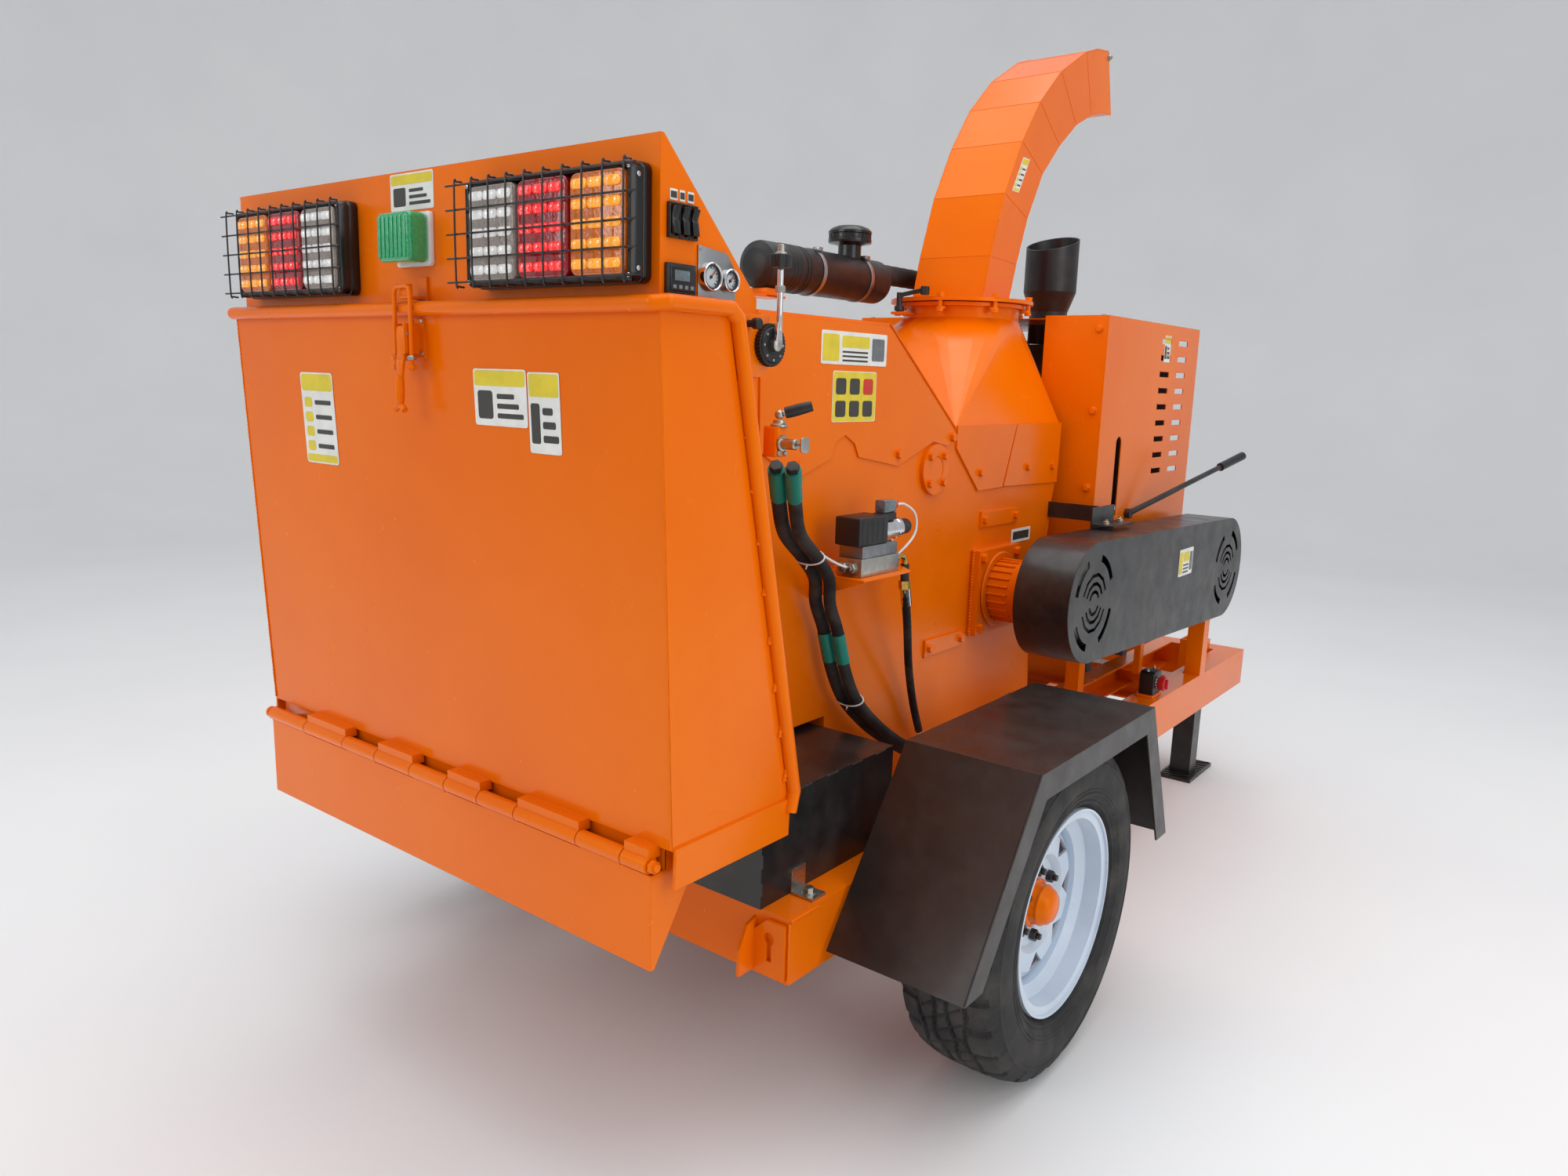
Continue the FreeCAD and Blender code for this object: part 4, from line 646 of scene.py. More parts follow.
def lamp_housings():
    made = Piece("lamp_housings_detail")
    for x0, x1, _ in LAMPS:
        made.prism(rounded(x0, x1, LAMP_Z0, LAMP_Z1, 12), "Y", -908, LAMP_BACK_Y,
                   GLOSS_BLACK, 1.5)
        outer = rounded(x0 + 1.5, x1 - 1.5, LAMP_Z0 + 1.5, LAMP_Z1 - 1.5, 11)
        inner = rounded(x0 + 9, x1 - 9, LAMP_Z0 + 9, LAMP_Z1 - 9, 7)
        crest = [(p[0] + (q[0] - p[0]) * 0.25, p[1] + (q[1] - p[1]) * 0.25)
                 for p, q in zip(outer, inner)]
        # Raised rim: loops from the outer foot over the crest to the inner foot
        loops = ((outer, -907), (outer, -924), (crest, -927), (inner, -926), (inner, -907))
        verts = [mm(x, y, z) for loop, y in loops for x, z in loop]
        n = len(outer)
        faces = [(k * n + j, k * n + (j + 1) % n, (k + 1) * n + (j + 1) % n, (k + 1) * n + j)
                 for k in range(4) for j in range(n)]
        made.raw(verts, faces, GLOSS_BLACK)
        for x in (x0 + 7, x1 - 7):
            for z in (LAMP_Z0 + 9, LAMP_Z1 - 9):
                made.rod((x, -925.5, z), REAR, 3.2, 2.2, CHROME, 0.7, 18)
        if x0 > 0:
            for z in (1604, 1490):
                made.rod((x1 - 1.5, -916, z), RIGHT, 3.4, 2.5, CHROME, 0.7, 18)
    made.done("chassis", "tail_lamp_housings")


def lamp_section(made, left, width, body, face):
    """One coloured section: a body with five rows of three pillows, each with two domes."""
    made.prism(rounded(left + 2.6, left + width - 2.6, LAMP_Z0 + 10, LAMP_Z1 - 10, 12), "Y",
               -930, -908.5, body, 4.5, 4)
    pitch = (width - 14) / 3
    for row in range(5):
        for column in range(3):
            x = left + 7 + pitch * (column + 0.5)
            z = LAMP_Z0 + 12 + (LAMP_Z1 - LAMP_Z0 - 24) * (row + 0.5) / 5
            pillow = rounded(x - pitch / 2 + 0.8, x + pitch / 2 - 0.8, z - 6.5, z + 6.5, 5, 5)
            made.prism(pillow, "Y", -932.4, -929, face, 2.6, 3)
            for side in (-1, 1):
                made.lathe((x + side * pitch / 4.6, -932, z), REAR,
                           [(0, 5.4), (1.0, 4.6), (1.9, 2.6), (2.3, 0)], face, 18)


def lamp_lenses():
    made = Piece("lamp_lens_detail")
    for x0, x1, sections in LAMPS:
        width = (x1 - x0 - 20) / 3.0
        for k, (body, face) in enumerate(sections):
            lamp_section(made, x0 + 10 + k * width, width, body, face)
    made.done("chassis", "tail_lamp_lenses")


def lamp_guards():
    """Wire guards: cross wires bent in at one end, uprights bent in at both."""
    made = Piece("lamp_wire_guards")
    for x0, x1, _ in LAMPS:
        for k in range(5):
            z = LAMP_Z0 + 8 + (LAMP_Z1 - LAMP_Z0 - 16) * k / 4.0
            made.tube([(x0 - 9, -938, z), (x0 - 2, -938.5, z), (x1 - 8, -938.5, z),
                       (x1 - 3, -936, z), (x1 - 2, -926, z)], 1.5, BLACK, 8, 4)
        for k in range(10):
            x = x0 - 4 + (x1 - x0 + 2) * k / 9.0
            made.tube([(x, -927, LAMP_Z0 + 2), (x, -936, LAMP_Z0 + 3),
                       (x, -940.5, LAMP_Z0 + 12), (x, -940.5, LAMP_Z1 - 12),
                       (x, -936, LAMP_Z1 - 3), (x, -927, LAMP_Z1 - 2)], 1.5, BLACK, 8, 4)
    made.done("chassis")


def marker_lamp():
    made = Piece("marker_lamp_detail")
    made.prism(rounded(-32, 58, 1512, 1593, 5), "Y", -900, LAMP_BACK_Y, WHITE_FILM, 1.2)
    made.prism(rounded(-29, 55, 1516, 1590, 9), "Y", -936, -900, GREEN_LENS, 7, 4)
    for k in range(7):
        made.prism(rounded(-24 + k * 11, -17 + k * 11, 1522, 1584, 3, 3), "Y", -937.8, -935,
                   GREEN_LENS, 1.2, 2)
    made.done("chassis", "marker_lamp")


# ----------------------------------------------------------------- tray latch
LATCH_X, LATCH_Y = 20, -928
HOOK_X0, HOOK_X1 = LATCH_X - 20, LATCH_X + 22


def latch_lever():
    x = LATCH_X
    made = Piece("latch_lever_detail")
    made.rod((x - 15, LATCH_Y, 1408), RIGHT, 4, 32, ZINC, 0.6)
    made.prism([(x - 9, 1366), (x + 10, 1368), (x + 11, 1416), (x + 4, 1421), (x - 8, 1419),
                (x - 11, 1408)], "Y", -934.5, -922, ORANGE, 2)
    made.prism([(x - 9, 1370), (x + 10, 1370), (x + 3, 1338), (x - 9, 1336)], "Y",
               -936, -930.5, ORANGE, 1.2)
    made.tube([(x - 3, -933.5, 1344), (x - 4, -934, 1316), (x - 5, -934, 1300)], 7.2, ORANGE,
              16, 6, lambda i, n: 0.84 + 0.2 * sin(pi * i / (n - 1)))
    made.tube([(x - 17, -934, 1292), (x - 9, -934, 1297), (x + 1, -934, 1297),
               (x + 8, -934, 1291)], 5, ORANGE,
              14, 6, lambda i, n: 0.9 + 0.16 * abs(cos(pi * i / (n - 1))))
    made.done("latch_lever_body", "latch_lever")


def latch_hook():
    """U-shaped rod with two nuts on each leg."""
    made = Piece("latch_hook_detail")
    path = [(HOOK_X0, 1352), (HOOK_X0, 1470), (HOOK_X0 + 3, 1477), (HOOK_X0 + 9, 1480),
            (HOOK_X1 - 9, 1480), (HOOK_X1 - 3, 1477), (HOOK_X1, 1470), (HOOK_X1, 1352)]
    made.bar([(x, LATCH_Y, z) for x, z in path], 3.4, ORANGE, 14)
    for x, mat in ((HOOK_X0, ORANGE), (HOOK_X1, ZINC)):
        made.hex((x, LATCH_Y, 1369), UP, 7.4, 6, mat)
        made.hex((x, LATCH_Y, 1355), UP, 7.4, 6, ORANGE)
    made.done("latch_hook", "latch_u_bolt")


def latch_screws():
    made = Piece("latch_base_screws")
    for z in (1380, 1428):
        for x in (LATCH_X - 4, LATCH_X + 21):
            made.rod((x, -907.6, z), REAR, 3.6, 2.6, ZINC, 1, 18)
    made.done("tray")


# ------------------------------------------------------------- control side
ROCKER_YS = (-872, -854, -836)
THROTTLE_Y, THROTTLE_Z = -676, 1404
GRIP_X, GRIP_Y = 564.5, -673
VALVE_X, VALVE_Y = 500, -585


def gauge(panel, y, z, r):
    """Round dial with a bezel, thirteen ticks and a needle."""
    panel.ring((543, y, z), RIGHT, r - 3, r, 12, CHROME, 48, 2)
    panel.ring((551, y, z), RIGHT, r - 5, r - 2.5, 2.5, PLASTIC, 40, 0.6)
    panel.rod((543, y, z), RIGHT, r - 3.5, 6, DIAL, 0.3, 40)
    for k in range(13):
        angle = radians(-135 + 22.5 * k)
        tick = [(x, y + sin(angle) * (r - inset), z + cos(angle) * (r - inset))
                for x, inset in ((548.8, 8.2), (549.4, 5))]
        panel.bar(tick, 0.45 if k % 3 else 0.8, INK, 6)
    panel.bar([(549.6, y - 2, z - 3), (550.2, y + (r - 8) * 0.7, z + (r - 8) * 0.7)],
              0.7, RED_SEAL, 8)
    panel.rod((549, y, z), RIGHT, 2.2, 2, PLASTIC, 0.5, 16)


def instrument_panel():
    made = Piece("instrument_panel_detail")
    made.prism([(-822, 1453), (-746, 1453), (-746, 1500), (-764, 1522), (-822, 1528)], "X",
               PANEL_X, 543, STEEL, 0.6)
    gauge(made, -804, 1488, 19)
    gauge(made, -765, 1486, 16)
    for y, z in ((-818, 1457), (-750, 1457), (-818, 1523)):
        made.rod((543, y, z), RIGHT, 2.4, 1.4, ZINC, 0.5, 14)
    # Display unit with a window and four buttons
    made.prism(rect(-884, -830, 1461, 1500), "X", PANEL_X, 547, PLASTIC, 1.5)
    made.prism(rect(-880, -834, 1465, 1496), "X", 546, 549, GLOSS_BLACK, 1)
    made.prism(rect(-873, -845, 1478, 1491), "X", 548.6, 549.4, GLASS, 0.2)
    for k in range(4):
        made.prism(rect(-876 + k * 11, -870 + k * 11, 1467.5, 1472.5), "X", 548.5, 549.8,
                   ALU, 0.5)
    # Rocker frames: two uprights, a sill and a head
    for y in ROCKER_YS:
        for strip in ((y - 8.4, y - 6.7, 1531, 1575), (y + 6.7, y + 8.4, 1531, 1575),
                      (y - 7, y + 7, 1531, 1534), (y - 7, y + 7, 1572, 1575)):
            made.prism(rect(*strip), "X", PANEL_X, 547, PLASTIC, 0.7)
    made.done("chassis", "instrument_panel")


def rockers():
    for i, y in enumerate(ROCKER_YS, 1):
        made = Piece(f"rocker_detail_{i}")
        made.prism([(544, 1536), (553, 1536), (550.5, 1553), (548.5, 1556), (554, 1570),
                    (544, 1570)], "Y", y - 5.8, y + 5.8, GLOSS_BLACK, 0.9)
        made.prism([(549.3, 1541), (551.2, 1541), (550.4, 1547), (548.8, 1547)], "Y",
                   y - 2.4, y + 2.4, WHITE_FILM, 0.3)
        made.done(f"rocker_{i}", f"rocker_switch_{i}")


def throttle_quadrant():
    y, z = THROTTLE_Y, THROTTLE_Z
    made = Piece("throttle_quadrant_detail")
    made.prism([(-744, 1358), (-690, 1358), (-672, 1372), (-672, 1446), (-744, 1446)], "X",
               541, 546, ORANGE, 1)
    teeth = [polar(y, z, 31 if k % 2 else 28.6, a) for k, a in enumerate(turns(72))]
    made.prism(teeth, "X", 546, 556, PLASTIC, 0.4, 1)
    made.lathe((556, y, z), RIGHT, [(0, 26), (2.5, 24), (3, 17), (1.4, 14), (1.4, 10), (4, 9),
                                    (4, 0)], PLASTIC, 40)
    for a in turns(8):
        made.rod((556.5, *polar(y, z, 21, a)), RIGHT, 1.8, 2.6, ZINC, 0.4, 12)
    made.lathe((546, -720, 1432), RIGHT, [(0, 5), (10, 5), (11, 8), (20, 8), (22, 6), (22, 0)],
               PLASTIC, 24)
    for k in range(6):
        made.prism(rect(-741, -729, 1364 + k * 9, 1368.5 + k * 9), "X", 545.8, 547.2, INK, 0.3)
    made.done("chassis", "throttle_quadrant")


def throttle_lever():
    made = Piece("throttle_lever_detail")
    made.lathe((560.5, THROTTLE_Y, THROTTLE_Z), RIGHT,
               [(0, 0), (0, 9), (5, 9), (7, 7), (8, 4), (8, 0)], ZINC, 24)
    made.prism([(-683, 1400), (-667, 1400), (-669, 1436), (-679, 1436)], "X", 561, 567.5,
               CHROME, 1.5)
    made.rod((GRIP_X, GRIP_Y, 1424), UP, 4.4, 92, CHROME, 0.5, 24)
    made.hex((GRIP_X, GRIP_Y, 1478), UP, 7.5, 9, ZINC)
    made.prism(lobed(GRIP_X, GRIP_Y, 14.2, 1.9, 6), "Z", 1512, 1530, PLASTIC, 3, 3)
    made.lathe((GRIP_X, GRIP_Y, 1530), UP,
               [(0, 9), (3, 8), (4, 5), (13, 5), (14, 3), (14, 0)], ZINC, 24)
    made.done("throttle", "throttle_lever")


def control_valve():
    made = Piece("control_valve_detail")
    made.box(482, 507, -602, -572, 1237, 1283, ORANGE_CAST, 2.5)
    made.box(481, 509, -600, -574, 1264, 1284.5, ORANGE_CAST, 2)
    made.lathe((508, -588, 1258), RIGHT,
               [(0, 12), (3, 12), (4, 8.5), (28, 8.5), (30, 7), (30, 0)], ZINC, 28)
    made.lathe((VALVE_X, VALVE_Y, 1284), UP, [(0, 14), (3, 14), (5, 10), (10, 9), (10, 0)],
               ZINC, 28)
    for y in (-595, -579):
        made.hex((507, y, 1243), RIGHT, 4.5, 4, ZINC)
    made.done("chassis", "control_valve")


def valve_handle():
    made = Piece("valve_handle_detail")
    made.lathe((VALVE_X, VALVE_Y, 1296), UP,
               [(0, 4), (2, 6.4), (6, 7.6), (10, 6.6), (13, 3), (14, 0)], ZINC, 24)
    made.bar([(VALVE_X, VALVE_Y, 1303), (510, -578, 1305.5)], 4.3, ZINC, 14)
    made.tube([(507, -580, 1305), (516, -573, 1308), (529, -563, 1313), (540, -554, 1317)],
              9, PLASTIC, 20, 8,
              lambda i, n: 0.78 + 0.24 * sin(pi * (0.25 + 0.62 * i / (n - 1))))
    made.done("feed_valve_handle", "valve_handle")


def ignition_key():
    made = Piece("ignition_key_detail")
    made.rod((538.5, -588, 1258), RIGHT, 2.2, 14, ZINC, 0.3, 12)
    made.prism(rounded(-599, -577, 1246, 1270, 7, 5), "X", 552, 555, ZINC, 1)
    made.done("key", "ignition_key")


# ------------------------------------------------------- solenoid valve block
BLOCK_X = 382


def valve_block():
    x = BLOCK_X
    made = Piece("valve_block_detail")
    # Bracket, then the stacked block
    made.prism([(295, -215), (425, -215), (425, -45), (295, 60)], "Z", 978, 983, ORANGE, 1)
    made.prism([(295, 930), (300, 930), (425, 978), (295, 978)], "Y", -215, -210, ORANGE, 0.8)
    made.weld([(297, -212, 984), (297, 56, 984)], 2.6)
    made.box(352, 412, -205, -70, 983, 1020, ZINC, 2)
    made.box(354, 410, -200, -76, 1020, 1044, ALU, 2)
    for bolt_x in (362, 402):
        for y in (-190, -86):
            made.rod((bolt_x, y, 1044), UP, 5, 4, ZINC, 1, 20)
    made.box(350, 410, -212, -112, 1044, 1100, PLASTIC, 4, 3)
    for k in range(5):
        made.box(349, 411, -204 + k * 18, -198 + k * 18, 1050, 1094, PLASTIC, 1)
    # Chrome barrel with a black end cap
    made.lathe((x, -113, 1066), FRONT,
               [(0, 0), (0, 24), (4, 24), (5, 20), (60, 20), (62, 22), (72, 22), (76, 18),
                (77, 16)], CHROME, 44)
    made.lathe((x, -36, 1066), FRONT, [(0, 14), (2, 16), (30, 16), (36, 13), (40, 6), (40, 0)],
               PLASTIC, 36)
    # Plug on top with a red seal
    made.box(368, 396, -108, -62, 1085, 1100, PLASTIC, 2)
    made.prism(rounded(370, 394, 1100, 1126, 4), "Y", -104, -60, GLASS, 2)
    made.lathe((x, -60, 1113), FRONT,
               [(0, 0), (0, 9), (3, 9), (4, 7), (14, 7), (15, 4), (15, 0)], RED_SEAL, 24)
    for bolt_x in (372, 392):
        made.hex((bolt_x, -205, 1002), REAR, 11, 10, ZINC, 0.2, 6)
    made.lathe((x, -70, 1005), FRONT, [(0, 0), (0, 14), (16, 14), (17, 9), (40, 9), (40, 0)],
               BRASS, 28)
    made.hex((x, -54, 1005), FRONT, 13.5, 12, BRASS, 0.3)
    made.done("chassis", "valve_manifold")


# -------------------------------------------------------- hoses and wiring
# Centre lines: (x, y, z)
MAIN_RUN = [
    (466, -546, 1212), (430, -490, 1150), (394, -425, 1090), (362, -330, 1035),
    (345, -265, 985), (332, -240, 930), (328, -205, 870), (330, -178, 789), (330, -131, 713),
    (330, -53, 644), (330, 30, 588), (332, 114, 540)]
TWIN_RUN = [(x + 31, y + 4, z) for x, y, z in MAIN_RUN]
ELBOW_RUN = [(BLOCK_X, -30, 1005), (BLOCK_X, -8, 1003), (BLOCK_X, 2, 985), (BLOCK_X, 6, 940)]
SMALL_RUN = ELBOW_RUN[2:] + [(372, 40, 850), (345, 100, 740), (325, 160, 640), (322, 200, 560)]
CABLE_RUN = [
    (BLOCK_X, -44, 1113), (388, -20, 1112), (396, 10, 1090), (398, 8, 1050),
    (394, -40, 1016), (398, -130, 990), (384, -236, 1010), (362, -330, 1062)]


def run_start(path, i):
    """A run's station as a vector, and the direction to the next."""
    start = Vector(path[i])
    return start, (Vector(path[i + 1]) - start).normalized()


def tape_band(made, path, i, r):
    """Tape sleeve between stations i and i + 1."""
    start, along = run_start(path, i)
    middle = start.lerp(Vector(path[i + 1]), 0.45)
    made.bar([middle - along * 32, middle, middle + along * 32], r, TEAL, 22)


def cable_tie(made, i):
    """Nylon loop round both hoses, with its tail."""
    start, along = run_start(MAIN_RUN, i)
    twin = Vector(TWIN_RUN[i])
    centre = (start + twin) / 2
    wide = (twin - start).normalized()
    out = along.cross(wide)
    angles = [2 * pi * k / 40 for k in range(41)]
    made.bar([centre + wide * (31 * cos(a)) + out * (16.2 * sin(a)) for a in angles],
             1.7, NYLON, 8)
    made.tube([centre + out * 16, centre + out * 24 + along * 3,
               centre + out * 30 + Vector((6, 0, 10))], 1.4, NYLON, 8, 5)


def hoses():
    made = Piece("hose_set_detail")
    for path, r, segments, steps in ((MAIN_RUN, 13, 22, 16), (TWIN_RUN, 12, 22, 16),
                                     (SMALL_RUN, 9, 18, 14)):
        made.tube(path, r, HOSE, segments, steps, lambda i, n: 1.02 if i % 2 else 0.98)
    made.tube(ELBOW_RUN, 6.5, BRASS, 18, 10)
    made.hex((BLOCK_X, 4, 950), (0.0, 0.1, -1), 12.5, 20, BRASS, 0.2)
    made.bar([(381, 8, 938), (377, 24, 895)], 11.5, CHROME, 22)
    for i in (0, 6):
        tape_band(made, MAIN_RUN, i, 14.3)
        tape_band(made, TWIN_RUN, i, 13.3)
    for i in (3, 8):
        cable_tie(made, i)
    for path in (MAIN_RUN, TWIN_RUN):
        start, along = run_start(path, 0)
        made.bar([start - along * 2, start + along * 26], 14.4, TEAL, 22)
        made.hex(start - along * 14, along, 11, 13, BLACK)
    made.tube(CABLE_RUN, 2.6, NYLON, 10, 10)
    made.done("chassis", "hydraulic_hoses")


# ------------------------------------------------------------- label plates
# Height ranges over the plate's back: film, raised field, ink, ink laid on a field
FILM_Z, FIELD_Z, INK_Z, OVER_Z = (0.05, 0.8), (0.7, 1.1), (0.7, 1.0), (0.95, 1.25)
# The tray's rear face leans to the rear by (run, rise) from its foot at (y, z)
TRAY_RUN, TRAY_RISE = 33, 752
TRAY_FOOT = (-872.4, 690)


# Plate patterns yield (left, right, bottom, top, height range, material)
def tall_pattern(w, h):
    yield 3, w - 3, h * 0.80, h - 3, FIELD_Z, YELLOW_FILM
    yield 3, w - 3, 3, h * 0.10, FIELD_Z, YELLOW_FILM
    for k in range(4):
        v = h * (0.14 + 0.16 * k)
        yield w * 0.08, w * 0.32, v, v + h * 0.11, FIELD_Z, YELLOW_FILM
        yield w * 0.40, w * 0.9, v + h * 0.03, v + h * 0.08, INK_Z, INK


def head_pattern(w, h):
    yield 2.5, w - 2.5, h * 0.70, h - 2.5, FIELD_Z, YELLOW_FILM
    yield w * 0.07, w * 0.36, h * 0.12, h * 0.62, INK_Z, INK
    for k in range(3):
        yield (w * 0.44, w * (0.93 - 0.08 * k), h * (0.14 + 0.17 * k), h * (0.23 + 0.17 * k),
               INK_Z, INK)


def grid_pattern(w, h):
    yield 1.5, w - 1.5, 1.5, h - 1.5, INK_Z, YELLOW_FILM
    for a in range(3):
        for b in range(2):
            yield (w * (0.07 + 0.31 * a), w * (0.30 + 0.31 * a), h * (0.10 + 0.44 * b),
                   h * (0.42 + 0.44 * b), OVER_Z, RED_SEAL if a == 2 and b else INK)


def banner_pattern(w, h):
    yield w * 0.02, w * 0.26, h * 0.1, h * 0.9, FIELD_Z, YELLOW_FILM
    yield w * 0.30, w * 0.72, h * 0.52, h * 0.88, INK_Z, YELLOW_FILM
    for k in range(3):
        yield w * 0.31, w * 0.70, h * (0.10 + 0.13 * k), h * (0.16 + 0.13 * k), INK_Z, INK
    yield w * 0.76, w * 0.96, h * 0.15, h * 0.85, INK_Z, ALU


def small_pattern(w, h):
    yield w * 0.08, w * 0.92, h * 0.2, h * 0.8, INK_Z, INK


# Tray plates: (left x, right x, lower z, upper z, pattern)
TRAY_PLATES = (
    (-343, -238, 1184, 1344, tall_pattern), (160, 283, 1275, 1359, head_pattern),
    (286, 355, 1240, 1356, head_pattern))
# Upright plates: (lower corner, direction of the width, width, height, pattern)
FIXED_PLATES = (
    ((-54, -892.1, 1598), RIGHT, 114, 56, head_pattern),
    ((299.2, -208, 1388), FRONT, 230, 64, banner_pattern),
    ((299.2, -166, 1276), FRONT, 154, 100, grid_pattern),
    ((295.2, 665, 953), FRONT, 110, 36, small_pattern),
    ((PANEL_X + 0.1, -875, 1578), FRONT, 14, 14, small_pattern),
    ((PANEL_X + 0.1, -857, 1578), FRONT, 10, 14, small_pattern),
    ((PANEL_X + 0.1, -842, 1578), FRONT, 12, 14, small_pattern),
    ((395.1, 1395, 1440), FRONT, 52, 78, head_pattern),
    ((575.1, 1160, 838), FRONT, 116, 78, banner_pattern))


def plate(made, corner, along, up, w, h, pattern):
    """Film plate with colour fields; along and up are the directions of its sides."""
    along, up = Vector(along).normalized(), Vector(up).normalized()
    turn = Matrix((along, up, along.cross(up))).transposed().to_4x4()
    place = Matrix.Translation(Vector(corner) / 1000) @ turn
    for u0, u1, v0, v1, (low, high), mat in ((0, w, 0, h, FILM_Z, WHITE_FILM),
                                             *pattern(w, h)):
        r = min(min(w, h) * 0.06, (u1 - u0) * 0.3, (v1 - v0) * 0.3)
        made.prism(rounded(u0, u1, v0, v1, r, 4), "Z", low, high, mat, 0.15, 1, place)


def plates():
    made = Piece("plain_plates_tray")
    for x0, x1, z0, z1, pattern in TRAY_PLATES:
        y = TRAY_FOOT[0] - TRAY_RUN * (z0 - TRAY_FOOT[1]) / TRAY_RISE
        plate(made, (x0, y, z0), RIGHT, (0, -TRAY_RUN, TRAY_RISE), x1 - x0, z1 - z0, pattern)
    made.done("tray")
    made = Piece("plain_plates_fixed")
    for corner, along, w, h, pattern in FIXED_PLATES:
        plate(made, corner, along, UP, w, h, pattern)
    made.done("chassis")
    # The chute plate is sheared: its sides are not square to each other
    made = Piece("plain_plates_chute")
    plate(made, (110.1, 905, 1880), FRONT, (0, 0.5, 0.87), 40, 110, tall_pattern)
    made.done("chute")


# -------------------------------------------------------- welds and small iron
# Gaps between beads along the tray's lower edge, alternating: (left x, right x)
TRAY_EDGE_RUNS = ((-398, -264), (-156, -50), (52, 140), (236, 380), (478, 528))
BODY_EDGE_RUNS = ((-533, -400), (-262, -158), (-48, 50), (142, 234), (382, 476))
# Beads on each side of the body: (x, start y, start z, end y, end z, radius)
BODY_SIDE_WELDS = (
    (296.5, 338, 1256, 37, 1476, 2.4), (296.5, 455, 1104.5, 590, 1105, 2.6),
    (296.5, 600, 1106, 905, 1101, 2.6), (296, -389, 690, -389, 1160, 2.6),
    (296, 822, 628, 893, 1036, 2.2), (296.5, 484, 1009, 684, 1009, 1.8),
    (296.5, 244, 723, 430, 723, 1.8), (286, 910, 1100, 914, 1250, 2.0))


def edge_welds(made, runs, y, z):
    for x0, x1 in runs:
        made.weld([(x0 + 4, y, z), (x1 - 4, y, z)], 2.4)


def tray_welds():
    made = Piece("tray_weld_beads")
    for side in SIDES:
        made.weld([(side * 556.5, -867, 688.5), (side * 556.5, -610, 690.5)], 3.6)
        made.weld([(side * 553.5, -873.5, 694), (side * 553.5, -905, 1440)], 1.6)
        for k in range(9):
            t = (k + 0.5) / 9
            y, z = -606 - 146 * t, 705 + 700 * t
            made.weld([(side * 556.5, y - 4, z - 18), (side * 556.5, y + 4, z + 18)], 4.2)
    for x in range(-500, 501, 100):
        made.weld([(x - 16, -909, 1443), (x + 16, -909, 1443)], 3.2)
    edge_welds(made, TRAY_EDGE_RUNS, -875, 690)
    made.done("tray")


def body_welds():
    made = Piece("body_weld_beads")
    edge_welds(made, BODY_EDGE_RUNS, -894, 655)
    for side in SIDES:
        for x, y0, z0, y1, z1, r in BODY_SIDE_WELDS:
            made.weld([(side * x, y0, z0), (side * x, y1, z1)], r)
    made.weld([(302, 452, 742), (302, 452, 958)], 4.5, ORANGE_CAST)
    made.box(-533, 533, -865.5, -862, 652, 702, ORANGE, 0.8)
    made.done("chassis")


def bearings():
    """Ribbed collar round each rotor bearing."""
    made = Piece("bearing_unit_detail")
    for side in SIDES:
        made.ring((side * 320, ROTOR_Y, ROTOR_Z), (side, 0, 0), 76.4, 96, 8, ORANGE_CAST, 64, 3)
        for a in turns(24):
            made.bar([(side * 326, *polar(ROTOR_Y, ROTOR_Z, 78, a)),
                      (side * 382, *polar(ROTOR_Y, ROTOR_Z, 77, a))], 2.6, ORANGE_CAST, 8)
    made.done("chassis")


def tank_and_fender_welds():
    made = Piece("tank_and_fender_welds")
    for y in (-560, -480, -400, -320, -240):
        made.weld([(486, y, 655), (486, y + 34, 655)], 2.4, BLACK)
    for z in (490, 540, 590, 630):
        made.weld([(486, -579, z), (486, -579, z + 24)], 2.4, BLACK)
    for side in SIDES:
        made.weld([(side * 828, -478, 374), (side * 828, -245, 702)], 2.0, FENDER)
        made.weld([(side * 828, 300, 702), (side * 828, 453, 374)], 2.0, FENDER)
    made.done("chassis")


def frame_welds():
    made = Piece("frame_welds")
    for side in SIDES:
        made.weld([(side * 546, -573, 460), (side * 546, -495, 460)], 2.6)
        made.weld([(side * 545, -575, 350), (side * 545, -575, 458)], 3.0)
        made.weld([(side * 493, 1566, 466), (side * 493, 1614, 466)], 3.0)
    made.done("chassis")


# ------------------------------------------------------------- air filter
FILTER_X, FILTER_Z = -180, 1627
# Turned forms: (distance along, radius)
FILTER_CAN = [
    (0, 0), (0, 34), (4, 40), (14, 55), (22, 57.3), (120, 57.3), (124, 58.6), (130, 58.6),
    (134, 57.3), (520, 57.3), (528, 54), (532, 46), (534, 30)]
INTAKE_CAP = [
    (0, 31), (34, 31), (38, 44), (40, 57), (44, 58), (50, 58), (52, 55), (62, 55), (64, 58),
    (70, 58), (78, 50), (84, 34), (86, 12), (86, 0)]


